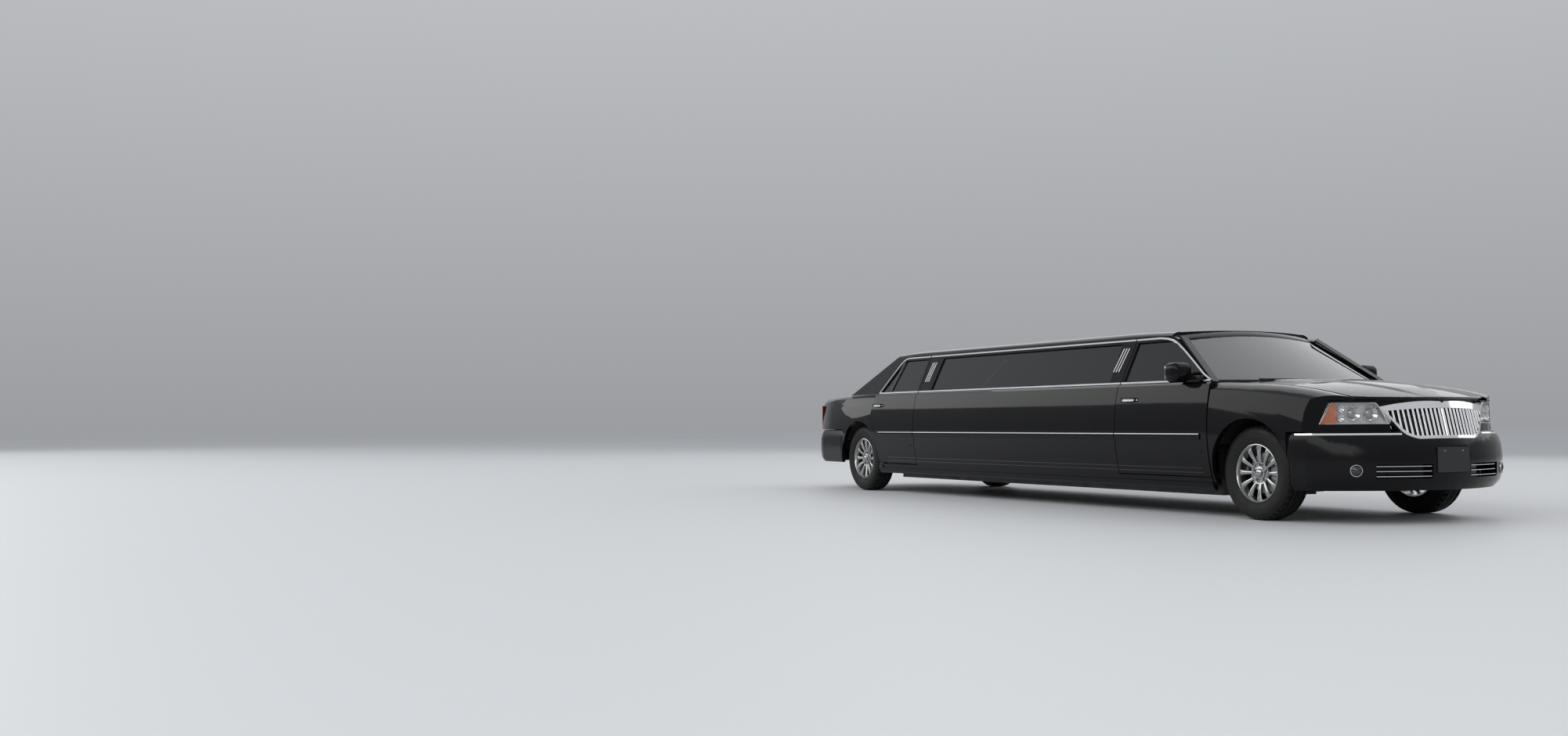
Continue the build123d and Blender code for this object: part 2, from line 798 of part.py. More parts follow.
# Lid hinge at both front corners
LID_PIN_X = XR - 490
LID_PIN_Z = 1044.0
lid_lug = wheel_cylinder(LID_PIN_X, LID_PIN_Z, 8, 612, 626) + box(LID_PIN_X - 20, LID_PIN_X, 612, 626, 1030, 1044)
deck_lug = wheel_cylinder(LID_PIN_X, LID_PIN_Z, 8, 626, 640) + box(LID_PIN_X, XR - 464, 626, 640, 1038, 1052)
trunk_lid = trunk_lid + lid_lug + right(lid_lug)
trunk_lid = trunk_lid - box(LID_PIN_X - 14, LID_PIN_X + 1, 624, 642, 1030, 1070) - box(
    LID_PIN_X - 14, LID_PIN_X + 1, -642, -624, 1030, 1070
)
trunk_lid = trunk_lid + lid_lug + right(lid_lug)

# Tail lamps between the lid and the quarters
tail_lamp = push(
    outline(
        (XR - 1190, 812, 690),
        [
            [(XR - 1238, 780, 690), (XR - 1256, 690, 690)],
            [(XR - 1260, 612, 690)],
            [(XR - 1190, 612, 690)],
        ],
    ),
    (0, 0, 250),
)

# Rear bumper
REAR_RINGS = [(300, 46), (350, 12), (430, 0), (560, 4), (620, 20), (664, 46)]


def bumper_rear(z0, shrink):
    """Plan ring of the rear bumper at one height."""
    s = shrink
    return outline(
        (XR - 425, HALF - 16 - s * 0.5, z0),
        [
            [(XR - 850, HALF - 44 - s * 0.6, z0)],
            [(XR - 1140 + s * 0.7, HALF - 150 - s * 0.7, z0), (X_TAIL + 70 + s, HALF - 380, z0)],
            [(X_TAIL + s, 0, z0), (X_TAIL + 70 + s, -(HALF - 380), z0)],
            [(XR - 1140 + s * 0.7, -(HALF - 150 - s * 0.7), z0), (XR - 850, -(HALF - 44 - s * 0.6), z0)],
            [(XR - 425, -(HALF - 16 - s * 0.5), z0)],
            [(XR - 425, -(HALF - 76), z0)],
            [(XR - 850, -(HALF - 110), z0)],
            [(XR - 1110, -(HALF - 300), z0)],
            [(X_TAIL + 140, 0, z0), (XR - 1110, HALF - 300, z0)],
            [(XR - 850, HALF - 110, z0)],
            [(XR - 425, HALF - 76, z0)],
        ],
    )


rear_bumper = stacked(bumper_rear, REAR_RINGS)
for y in (-590, 530):
    rear_bumper = rear_bumper + box(XR - 1160, XR - 1000, y, y + 60, 450, 520)
quarter = quarter - box(XR - 1400, XR - 380, 0, 1100, 0, 668)
quarter = quarter & box(XR - 1190, XR + 900, 0, 1100, 0, 1600)

# Grille: ring, upright bars and back plate, upright then leaned back
GRILLE_BARS = 26


def grille_face(inset, x0, x1):
    """Front-view outline of the grille pushed along the car."""
    i = inset
    wire = outline(
        (x0, 0, 606 + i),
        [
            [(x0, 270 - i, 610 + i)],
            [(x0, 350 - i, 640 + i * 0.5), (x0, 410 - i, 700)],
            [(x0, 516 - i * 1.2, 866 - i)],
            [(x0, 260, 884 - i), (x0, 20, 880 - i)],
            [(x0, 0, 868 - i)],
            [(x0, -20, 880 - i)],
            [(x0, -260, 884 - i), (x0, -516 + i * 1.2, 866 - i)],
            [(x0, -410 + i, 700)],
            [(x0, -350 + i, 640 + i * 0.5), (x0, -270 + i, 610 + i)],
        ],
    )
    return push(wire, (x1 - x0, 0, 0))


def bowed(front, depth):
    """Slab of constant depth along the car, its front rounded in plan."""
    wire = outline(
        (XF + front - 118, -560, 500),
        [
            [(XF + front, 0, 500), (XF + front - 118, 560, 500)],
            [(XF + front - 118 - depth, 560, 500)],
            [(XF + front - depth, 0, 500), (XF + front - 118 - depth, -560, 500)],
        ],
    )
    return push(wire, (0, 0, 500))


hole = grille_face(24, XF + 600, XF + 1100) & box(XF + 600, XF + 1100, -600, 600, 500, 832)
ring = (grille_face(0, XF + 600, XF + 1100) - hole) & bowed(975, 60)
plate = grille_face(20, XF + 600, XF + 1100) & bowed(925, 10)
bars = []
for i in range(GRILLE_BARS + 1):
    y = -500 + 1000 * i / GRILLE_BARS
    w = 16 if i == GRILLE_BARS // 2 else 6
    bars.append(box(XF + 700, XF + 1000, y - w, y + w, 600, 890))
bar_set = Compound(bars) & (grille_face(20, XF + 600, XF + 1100) & bowed(965, 42))
grille = ring + plate + bar_set
grille = grille.rotate(Axis((XF + 975, 0, 606), (0, 1, 0)), -14)
grille_room = grille_face(0, XF + 600, XF + 1100) & bowed(1060, 260)
grille_room = grille_room.rotate(Axis((XF + 975, 0, 606), (0, 1, 0)), -14)
front_bumper = front_bumper - grille_room
for y in (-470, 410):
    front_bumper = front_bumper + box(XF + 780, XF + 840, y, y + 60, 310, 380)
lamp = lamp - grille_room

# Front plate bracket in a flat recess of the bumper, two screw holes
PLATE_Z0 = 367.0
PLATE_Z1 = 546.0
PLATE_HALF = 158.0
PLATE_SCREWS = 178.0
SCREW_RADIUS = 3.5
front_bumper = front_bumper - box(X_NOSE - 14, X_NOSE + 50, -PLATE_HALF - 4, PLATE_HALF + 4, PLATE_Z0 - 4, PLATE_Z1 + 4)
plate_bracket = box(X_NOSE - 14, X_NOSE - 2, -PLATE_HALF, PLATE_HALF, PLATE_Z0, PLATE_Z1)
for y in (-PLATE_SCREWS / 2, PLATE_SCREWS / 2):
    plate_bracket = plate_bracket - rod((X_NOSE - 20, y, PLATE_Z1 - 26), (X_NOSE + 10, y, PLATE_Z1 - 26), SCREW_RADIUS)

# Road wheels
def tyre(x, y):
    """One tyre with rounded shoulders and a bead bore, axis across the car."""
    w = TYRE_WIDTH / 2
    b = RIM_RADIUS - 8
    profile = outline(
        (x, y - w + 14, TYRE_RADIUS + b),
        [
            [(x, y + w - 14, TYRE_RADIUS + b)],
            [(x, y + w, TYRE_RADIUS + b + 62), (x, y + w - 12, TYRE_RADIUS * 2 - 22)],
            [(x, y + w - 18, TYRE_RADIUS * 2 - 6), (x, y + w - 38, TYRE_RADIUS * 2)],
            [(x, y - w + 38, TYRE_RADIUS * 2)],
            [(x, y - w + 18, TYRE_RADIUS * 2 - 6), (x, y - w + 12, TYRE_RADIUS * 2 - 22)],
            [(x, y - w, TYRE_RADIUS + b + 62), (x, y - w + 14, TYRE_RADIUS + b)],
        ],
    )
    return Solid.revolve(Face(profile), 360, Axis((x, y, TYRE_RADIUS), (0, 1, 0)))


def rim(x, y):
    """One spoked rim on the left side: barrel, disc hub, spokes and cap."""
    c = TYRE_RADIUS
    r = RIM_RADIUS - 8.4
    barrel = outline(
        (x, y - 98, c + r - 12),
        [
            [(x, y + 98, c + r - 12)],
            [(x, y + 98, c + r)],
            [(x, y - 98, c + r)],
        ],
    )
    pieces = [Solid.revolve(Face(barrel), 360, Axis((x, y, c), (0, 1, 0)))]
    pieces.append(wheel_cylinder(x, c, 82, y + 20, y + 78))
    pieces.append(wheel_cylinder(x, c, 34, y + 70, y + 92))
    spoke = outline(
        (x - 17, y + 62, c + 60),
        [
            [(x + 17, y + 62, c + 60)],
            [(x + 22, y + 62, c + r - 6)],
            [(x - 22, y + 62, c + r - 6)],
        ],
    )
    blade = push(spoke, (0, 24, 0))
    for i in range(SPOKES):
        pieces.append(blade.rotate(Axis((x, y, c), (0, 1, 0)), 360 * i / SPOKES))
    return joined(pieces)


YF = FRONT_TRACK / 2
YR = REAR_TRACK / 2
tyre_front = tyre(XF, YF)
rim_front = rim(XF, YF)
tyre_rear = tyre(XR, YR)
rim_rear = rim(XR, YR)

# Front knuckle: kingpin post, hub flange and brake caliper
knuckle = rod((XF, KINGPIN_Y, 205), (XF, KINGPIN_Y, 500), 30)
knuckle = knuckle + wheel_cylinder(XF, TYRE_RADIUS, 70, KINGPIN_Y - 10, YF + 20)
knuckle = knuckle + box(XF + 95, XF + 170, KINGPIN_Y - 40, YF + 40, TYRE_RADIUS - 60, TYRE_RADIUS + 60)
knuckle = knuckle + box(XF, XF + 120, KINGPIN_Y - 30, KINGPIN_Y, TYRE_RADIUS - 40, TYRE_RADIUS + 40)

# Ladder frame, left rail in runs of x from front to back
RAIL_RUNS = [
    (XF + 780, 440, 300, 390),
    (XF - 320, 440, 300, 390),
    (XF - 450, 780, 165, 268),
    (XR + 690, 780, 165, 268),
    (XR + 420, 560, 440, 530),
    (XR - 1000, 560, 440, 530),
]


def rail():
    """Left frame rail."""
    pieces = []
    for a, b in zip(RAIL_RUNS[:-1], RAIL_RUNS[1:]):
        wires = []
        for x, y, z0, z1 in (a, b):
            wires.append(
                Wire.make_polygon(
                    [Vector(x, y - 40, z0), Vector(x, y + 40, z0), Vector(x, y + 40, z1), Vector(x, y - 40, z1)],
                    close=True,
                )
            )
        pieces.append(Solid.make_loft(wires, ruled=True))
    return joined(pieces)


rail_left = rail()
CROSS_X = [XF - 900, (XF + XR) / 2 + 900, (XF + XR) / 2 - 900, XR + 800]
cross = [box(x - 60, x + 60, -740, 740, 165, 173) for x in CROSS_X]
cross.append(box(XF - 70, XF + 70, -400, 400, 215, 300))
cross.append(box(XR - 700, XR - 620, -520, 520, 450, 520))
cross.append(box(XF + 700, XF + 760, -400, 400, 310, 380))

# Front arms with their ball pads
arm = plan_prism(
    [(XF - 90, 400), (XF + 90, 400), (XF + 32, 700), (XF + 32, 802), (XF - 32, 802), (XF - 32, 700)], 185, 205
)
arm = arm + box(XF - 70, XF + 70, 400, 480, 205, 300)
arm_top = plan_prism(
    [(XF - 60, 480), (XF + 60, 480), (XF + 32, 700), (XF + 32, 802), (XF - 32, 802), (XF - 32, 700)], 500, 516
)
arm_top = arm_top + box(XF - 60, XF + 60, 400, 480, 390, 516)

# Rear axle
axle = wheel_cylinder(XR, TYRE_RADIUS, 42, -(YR + 20), YR + 20)
axle = axle + wheel_cylinder(XR, TYRE_RADIUS, 72, YR + 8, YR + 20)
axle = axle + wheel_cylinder(XR, TYRE_RADIUS, 72, -(YR + 20), -(YR + 8))
axle = axle + wheel_cylinder(XR, TYRE_RADIUS, 130, -110, 110)
for y in (-590, 530):
    axle = axle + box(XR - 40, XR + 40, y, y + 60, TYRE_RADIUS + 20, 440)
axle = axle + rod((XR + 100, 0, TYRE_RADIUS), (XR + 205, 0, TYRE_RADIUS), 50)

# Engine, gearbox and shafts
engine = box(XF - 380, XF + 420, -290, 290, 335, 900)
engine = engine + box(XF - 960, XF - 380, -150, 150, 173, 262) + box(XF - 440, XF - 380, -150, 150, 262, 500)
engine = engine + box(XF - 380, XF - 300, -150, 150, 200, 400)
shaft_z = 219.0
shaft = rod((XF - 960, 0, shaft_z), (XR + 520, 0, shaft_z), 38)
shaft = shaft + rod((XR + 530, 0, shaft_z), (XR + 230, 0, TYRE_RADIUS), 38)

# Exhaust and tank
exhaust = rod((XF - 380, -340, 215), (XR + 1500, -340, 215), 28)
exhaust = exhaust + box(XR + 760, XR + 1500, -470, -210, 173, 258)
tank = box(XR - 600, XR - 250, -420, 420, 340, 540)

# Floor: flat under the cabin, raised over the rear axle, flat again under the trunk
floor = box(XR + 720, XF - 450, -FLOOR_HALF, FLOOR_HALF, 268, FLOOR_TOP)
trunk_floor = box(XR - 1080, XR + 720, -690, 690, 540, 560)
trunk_floor = trunk_floor + box(XR + 700, XR + 720, -690, 690, 268, 540)
trunk_floor = trunk_floor + box(XR - 1100, XR - 1080, -690, 690, 540, 668)

# Deck under the rear window and the bulkhead behind the rear seat
rear_deck = box(XR - 470, XR + 112, -700, 700, 1036, BELT_Z + 8) + box(XR + 94, XR + 112, -690, 690, 560, 1036)
rear_deck = rear_deck + deck_lug + right(deck_lug)

# Wheel liners: half shells over the tyres closed inwards
def liner(x, y0, y1, low):
    """Half shell over one left wheel, its inner wall reaching down to a height."""
    shell = wheel_cylinder(x, TYRE_RADIUS, 436, y0, y1) - wheel_cylinder(x, TYRE_RADIUS, 424, y0 + 8, y1 + 10)
    arch = shell & box(x - 500, x + 500, 0, 1100, 560, 900)
    plate = wheel_cylinder(x, TYRE_RADIUS, 436, y0, y0 + 8) & box(x - 500, x + 500, 0, 1100, low, 600)
    return arch + plate


liner_front = liner(XF, 472, 920, 390) - box(XF - 76, XF + 76, 460, 500, 380, 532)
liner_rear = liner(XR, 690, 920, 530)

# Wipers lying at the foot of the windshield
wiper_z = BELT_Z + 12 + 6.3
wiper_left = rod((XF - 386, 540, wiper_z), (XF - 331, 60, wiper_z), 6)
wiper_right = rod((XF - 331, -20, wiper_z), (XF - 378, -500, wiper_z), 6)

# Cabin furniture
dash = side_prism(
    [(XF - 480, 760), (XF - 480, 985), (XF - 690, 985), (XF - 800, 930), (XF - 780, 760)], -820, 820
)
wheel_tilt = 28
steering = Solid.make_torus(185, 15, Plane(origin=(XF - 960, 380, 960), z_dir=(-cos(radians(62)), 0, sin(radians(62)))))
steering = steering + (rod((XF - 960, 380, 960), (XF - 770, 380, 860), 22) - dash)
steering = steering + box(XF - 975, XF - 945, 200, 560, 945, 975)


def seat(x, y0, y1):
    """Chair with its back to the rear."""
    base = box(x - 480, x, y0, y1, FLOOR_TOP, 580)
    back = side_prism([(x - 480, 580), (x - 360, 580), (x - 520, 1150), (x - 610, 1150)], y0, y1)
    return base + back


seats = Compound([seat(XF - 1050, 110, 640), seat(XF - 1050, -640, -110)])
partition = box(XF - 1790, XF - 1750, -840, 840, FLOOR_TOP, 1020)
bench = box(XR + 220, XR + 860, -690, 690, 560, 700) + box(XR + 720, XR + 860, -690, 690, FLOOR_TOP, 560)
bench = bench + side_prism([(XR + 220, 700), (XR + 360, 700), (XR + 250, 1180), (XR + 120, 1180)], -690, 690)
side_bench = box(XR + 1500, XF - 2100, 400, 840, FLOOR_TOP, 640)
side_bench = side_bench + box(XR + 1500, XF - 2100, 740, 850, 640, 1000)
lounge = Compound(bench.solids() + side_bench.solids())

# Door mirrors
mirror_body = box(XF - 815, XF - 690, HALF - 78, HALF + 104, 1062, 1200)
mirror_body = mirror_body.fillet(26, mirror_body.edges())
mirror_arm = plan_prism(
    [(XF - 780, HALF + 40), (XF - 700, HALF + 40), (XF - 530, GLASS_Y + 10), (XF - 530, GLASS_Y - 60),
     (XF - 640, GLASS_Y - 60), (XF - 780, HALF - 40)],
    1034,
    1070,
)
mirror_body = mirror_body + (mirror_arm - front_wall)

# Write every node
save("front_door_left", front_door)
save("front_door_right", right(front_door))
save("front_door_glass_left", front_glass)
save("front_door_glass_right", right(front_glass))
save("rear_door_left", rear_door)
save("rear_door_right", right(rear_door))
save("rear_door_glass_left", rear_glass)
save("rear_door_glass_right", right(rear_glass))
save("stretch_side_left", stretch_side)
save("stretch_side_right", right(stretch_side))
save("stretch_windows", Compound(long_glass.solids() + right(long_glass).solids()))
save("rockers", Compound(rocker.solids() + right(rocker).solids()))
save("front_fender_left", fender_left)
save("front_fender_right", right(fender_left))
save("hood", hood)
save("headlamps", Compound(lamp.solids() + right(lamp).solids()))
save("front_bumper", front_bumper)
save("rear_quarter_left", quarter)
save("rear_quarter_right", right(quarter))
save("roof", roof)
save("windshield_pillars", Compound(pillar_front.solids() + right(pillar_front).solids()))
save("windshield", windshield)
save("rear_window", rear_window)
save("cowl", cowl)
save("trunk_lid", trunk_lid)
save("tail_lamps", Compound(tail_lamp.solids() + right(tail_lamp).solids()))
save("rear_bumper", rear_bumper)
save("grille", grille)
save("tyre_front_left", tyre_front)
save("tyre_front_right", right(tyre_front))
save("tyre_rear_left", tyre_rear)
save("tyre_rear_right", right(tyre_rear))
save("rim_front_left", rim_front)
save("rim_front_right", right(rim_front))
save("rim_rear_left", rim_rear)
save("rim_rear_right", right(rim_rear))
save("knuckle_left", knuckle)
save("knuckle_right", right(knuckle))
save("frame_rails", Compound(rail_left.solids() + right(rail_left).solids()))
save("frame_cross_members", Compound(cross))
save("front_arms", Compound(arm.solids() + arm_top.solids() + right(arm).solids() + right(arm_top).solids()))
save("rear_axle", axle)
save("engine", engine)
save("driveshaft", shaft)
save("exhaust", exhaust)
save("fuel_tank", tank)
save("rear_deck", rear_deck)
save("floor_pan", floor)
save("trunk_floor", trunk_floor)
save("wheel_liners", Compound(liner_front.solids() + right(liner_front).solids()
                              + liner_rear.solids() + right(liner_rear).solids()))
save("plate_bracket", plate_bracket)
save("wipers", Compound([wiper_left, wiper_right]))
save("dashboard", dash)
save("steering_wheel", steering)
save("front_seats", seats)
save("partition", partition)
save("lounge_seats", lounge)
save("mirror_left", mirror_body)
save("mirror_right", right(mirror_body))
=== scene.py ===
import math

import bmesh
import bpy
from bpy.props import FloatProperty, FloatVectorProperty, PointerProperty
from mathutils import Matrix, Vector
from mathutils.bvhtree import BVHTree


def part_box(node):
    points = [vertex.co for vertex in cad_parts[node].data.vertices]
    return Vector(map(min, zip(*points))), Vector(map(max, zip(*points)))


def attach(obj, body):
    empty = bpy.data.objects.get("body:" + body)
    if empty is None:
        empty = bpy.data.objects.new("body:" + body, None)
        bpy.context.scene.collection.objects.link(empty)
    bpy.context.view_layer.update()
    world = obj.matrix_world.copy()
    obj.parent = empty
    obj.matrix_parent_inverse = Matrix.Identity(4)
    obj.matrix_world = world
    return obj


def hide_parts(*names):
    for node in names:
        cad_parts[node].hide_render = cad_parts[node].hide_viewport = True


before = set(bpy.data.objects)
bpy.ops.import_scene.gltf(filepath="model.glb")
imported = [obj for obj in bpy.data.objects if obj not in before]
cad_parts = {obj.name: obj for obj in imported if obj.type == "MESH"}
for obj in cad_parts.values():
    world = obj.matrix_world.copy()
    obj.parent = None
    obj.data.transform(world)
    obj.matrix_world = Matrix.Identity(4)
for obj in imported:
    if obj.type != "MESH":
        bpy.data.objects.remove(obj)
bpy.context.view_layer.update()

bl_info = {
    "name": "Stretch limousine dressing",
    "version": (1, 0, 0),
    "blender": (4, 5, 0),
    "location": "View3D > Sidebar > Limousine",
    "description": "Finishes, trim, lamps, wheels and seats for a stretch limousine",
    "category": "Object",
}

SIDES = (("left", 1.0), ("right", -1.0))
AXLES = ("front", "rear")


def middle(node):
    """Centre of a CAD node's box."""
    low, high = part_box(node)
    return (low + high) / 2


FRONT = middle("tyre_front_left").x
REAR = middle("tyre_rear_left").x
HUB_Z = middle("tyre_front_left").z


class LimoFinishes(bpy.types.PropertyGroup):
    """Colours of the finishes."""

    paint: FloatVectorProperty(
        name="Paint", description="Body colour", subtype="COLOR", size=4,
        default=(0.004, 0.004, 0.0045, 1),
    )
    side_glass: FloatVectorProperty(
        name="Side glass", description="Tint of the side windows", subtype="COLOR", size=4,
        default=(0.05, 0.053, 0.056, 1),
    )
    screen_glass: FloatVectorProperty(
        name="Screen glass", description="Tint of the windshield", subtype="COLOR", size=4,
        default=(0.22, 0.235, 0.24, 1),
    )
    chrome: FloatVectorProperty(
        name="Chrome", description="Colour of the bright trim", subtype="COLOR", size=4,
        default=(0.78, 0.79, 0.80, 1),
    )
    amber: FloatVectorProperty(
        name="Amber", description="Colour of the turn lamps", subtype="COLOR", size=4,
        default=(0.9, 0.22, 0.06, 1),
    )
    red: FloatVectorProperty(
        name="Red", description="Colour of the tail lamps", subtype="COLOR", size=4,
        default=(0.35, 0.006, 0.008, 1),
    )
    leather: FloatVectorProperty(
        name="Leather", description="Colour of the seats", subtype="COLOR", size=4,
        default=(0.018, 0.017, 0.017, 1),
    )


class LimoTrim(bpy.types.PropertyGroup):
    """Sizes of the trim, in metres."""

    belt_width: FloatProperty(
        name="Belt strip", description="Height of the strip", unit="LENGTH", default=0.017
    )
    rail_width: FloatProperty(
        name="Rail strip", description="Height of the strip", unit="LENGTH", default=0.016
    )
    proud: FloatProperty(
        name="Stand-off", description="How far strips stand proud", unit="LENGTH", default=0.006
    )
    moulding_z: FloatProperty(
        name="Moulding top", description="Its height", unit="LENGTH", default=0.647
    )
    moulding_width: FloatProperty(
        name="Moulding", description="Height of it", unit="LENGTH", default=0.052
    )
    bar_length: FloatProperty(
        name="Pillar bars", description="Length of them", unit="LENGTH", default=0.2
    )
    bar_pitch: FloatProperty(
        name="Bar pitch", description="Between pillar bars", unit="LENGTH", default=0.034
    )


class LimoStage(bpy.types.PropertyGroup):
    """Camera and light."""

    eye: FloatVectorProperty(
        name="Eye", description="Place of the camera", subtype="TRANSLATION", size=3,
        default=(11.8738, -8.9987, 0.7564),
    )
    yaw: FloatProperty(
        name="Yaw", description="Turn from +Y", subtype="ANGLE", default=math.radians(64.226)
    )
    pitch: FloatProperty(
        name="Pitch", description="Tilt up", subtype="ANGLE", default=math.radians(2.031)
    )
    roll: FloatProperty(
        name="Roll", description="Turn of the frame", subtype="ANGLE", default=math.radians(-0.401)
    )
    lens: FloatProperty(name="Lens", description="On a 36 mm wide film", default=34.93)
    floor: FloatVectorProperty(
        name="Floor", description="Floor colour", subtype="COLOR", size=4,
        default=(0.55, 0.56, 0.575, 1),
    )
    sky: FloatVectorProperty(
        name="Sky", description="Backdrop colour", subtype="COLOR", size=4,
        default=(0.55, 0.565, 0.585, 1),
    )
    horizon: FloatVectorProperty(
        name="Horizon", description="Backdrop colour at the floor", subtype="COLOR", size=4,
        default=(0.33, 0.34, 0.355, 1),
    )
    key: FloatProperty(
        name="Key lamp", description="Power of the long side lamp", unit="POWER", default=4800
    )
    far: FloatProperty(
        name="Far lamp", description="Power of the lamp on the far side", unit="POWER", default=1600
    )


# Meshes

MERGE = 1e-5  # vertices closer than this become one
SIDE_REACH = 1.3  # rays to the side of the car start this far from its middle
NOSE_REACH = 1.4  # rays to the nose start this far ahead of the front axle
TAIL_REACH = 0.3  # rays to the tail start this far behind the node


def new_piece(name, bm, finish, body="body", angle=40):
    """Finished object from a bmesh, riding on a body."""
    bmesh.ops.remove_doubles(bm, verts=bm.verts, dist=MERGE)
    bmesh.ops.recalc_face_normals(bm, faces=bm.faces)
    mesh = bpy.data.meshes.new(name)
    bm.to_mesh(mesh)
    bm.free()
    mesh.polygons.foreach_set("use_smooth", [True] * len(mesh.polygons))
    mesh.set_sharp_from_angle(angle=math.radians(angle))
    mesh.materials.append(bpy.data.materials[finish])
    piece = bpy.data.objects.new(name, mesh)
    bpy.context.scene.collection.objects.link(piece)
    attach(piece, body)
    return piece


def node_mesh(node):
    """Merged copy of a CAD node's mesh."""
    bm = bmesh.new()
    bm.from_mesh(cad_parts[node].data)
    bmesh.ops.remove_doubles(bm, verts=bm.verts, dist=MERGE)
    return bm


def carry(bm, ring, spots):
    """Extrudes a closed ring of vertices to the given spots."""
    edges = [bm.edges.get((ring[i - 1], ring[i])) for i in range(len(ring))]
    made = bmesh.ops.extrude_edge_only(bm, edges=edges)["geom"]
    fresh = {item for item in made if isinstance(item, bmesh.types.BMVert)}
    moved = [next(e.other_vert(v) for e in v.link_edges if e.other_vert(v) in fresh) for v in ring]
    for vert, spot in zip(moved, spots):
        vert.co = spot
    return moved


def loft(bm, rows):
    """Joins closed rows of points one after another and caps both ends."""
    ring = [bm.verts.new(spot) for spot in rows[0]]
    bm.faces.new(ring)
    for spots in rows[1:]:
        ring = carry(bm, ring, spots)
    bm.faces.new(ring)


def sweep(bm, points, outs, section, widths=None):
    """Carries a closed section of (across, outward) pairs along points."""
    last = len(points) - 1
    rows = []
    for i, (point, out) in enumerate(zip(points, outs)):
        along = (points[min(i + 1, last)] - points[max(i - 1, 0)]).normalized()
        across = along.cross(out).normalized() * (widths[i] if widths else 1)
        rows.append([point + across * a + out * b for a, b in section])
    loft(bm, rows)


def strips(name, runs, finish, body="body", angle=40):
    """Piece swept along runs, each with the arguments of a sweep."""
    bm = bmesh.new()
    for run in runs:
        sweep(bm, *run)
    return new_piece(name, bm, finish, body, angle)


def rounded(width, height, sink=0.002):
    """Section of a strip with eased upper edges."""
    edge, crown, shoulder = width / 2, width * 0.3, height * 0.5
    return [
        (-edge, -sink), (edge, -sink), (edge, shoulder), (crown, height), (-crown, height), (-edge, shoulder)
    ]


def lathe(bm, line, centre, axis, steps, closed=False):
    """Spins a line of (radius, along) points about an axis."""
    axis = Vector(axis).normalized()
    arm = axis.orthogonal().normalized()
    verts = [bm.verts.new(centre + arm * r + axis * a) for r, a in line]
    pairs = list(zip(verts, verts[1:])) + ([(verts[-1], verts[0])] if closed else [])
    edges = [bm.edges.new(pair) for pair in pairs]
    bmesh.ops.spin(
        bm, geom=verts + edges, cent=centre, axis=axis, angle=math.tau, steps=steps, use_merge=True,
        dvec=(0, 0, 0),
    )
    bmesh.ops.remove_doubles(bm, verts=bm.verts, dist=MERGE)


def round_off(bm, edges, radius, steps, clamp=False):
    """Rounds edges by a radius."""
    bmesh.ops.bevel(
        bm, geom=edges, offset=radius, segments=steps, profile=0.5, affect="EDGES", clamp_overlap=clamp,
        material=-1,
    )


def eased_box(bm, centre, size, radius, steps):
    """Box with rounded edges."""
    place = Matrix.Translation(centre) @ Matrix.Diagonal((*size, 1))
    made = bmesh.ops.create_cube(bm, size=1, matrix=place)["verts"]
    round_off(bm, list(dict.fromkeys(edge for vert in made for edge in vert.link_edges)), radius, steps)


def stud(bm, place, sides, foot, head, depth):
    """Capped cone with the radii of its foot and head."""
    bmesh.ops.create_cone(
        bm, cap_ends=True, segments=sides, radius1=foot, radius2=head, depth=depth, matrix=place
    )


def skin(node):
    """Search tree over a CAD node."""
    bm = bmesh.new()
    bm.from_mesh(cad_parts[node].data)
    tree = BVHTree.FromBMesh(bm)
    bm.free()
    return tree


def touch(tree, start, direction):
    """Point and outward normal where a ray meets a skin."""
    point, normal, _, _ = tree.ray_cast(Vector(start), Vector(direction))
    if point is None:
        raise ValueError(f"no surface from {tuple(start)}")
    if normal.dot(Vector(direction)) > 0:
        normal = -normal
    return point, normal


def from_side(tree, side, x, z):
    """Point and outward normal on the side of the car."""
    return touch(tree, (x, side * SIDE_REACH, z), (0, -side, 0))


def from_front(tree, y, z):
    """Point and outward normal on the nose."""
    return touch(tree, (FRONT + NOSE_REACH, y, z), (-1, 0, 0))


def from_rear(tree, node, y, z):
    """Point and outward normal on a node of the tail."""
    return touch(tree, (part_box(node)[0].x - TAIL_REACH, y, z), (1, 0, 0))


def evenly(first, last, count):
    """Numbers from first to last in equal steps."""
    return [first + (last - first) * i / count for i in range(count + 1)]


def limited(value):
    """Value kept between 0 and 1."""
    return min(max(value, 0), 1)


# Finishes


def make_group(name, inputs, outputs):
    """Empty shader group with named sockets."""
    tree = bpy.data.node_groups.new(name, "ShaderNodeTree")
    for label, kind, value in inputs:
        tree.interface.new_socket(label, in_out="INPUT", socket_type=kind).default_value = value
    for label, kind in outputs:
        tree.interface.new_socket(label, in_out="OUTPUT", socket_type=kind)
    return tree, tree.nodes.new("NodeGroupInput"), tree.nodes.new("NodeGroupOutput")


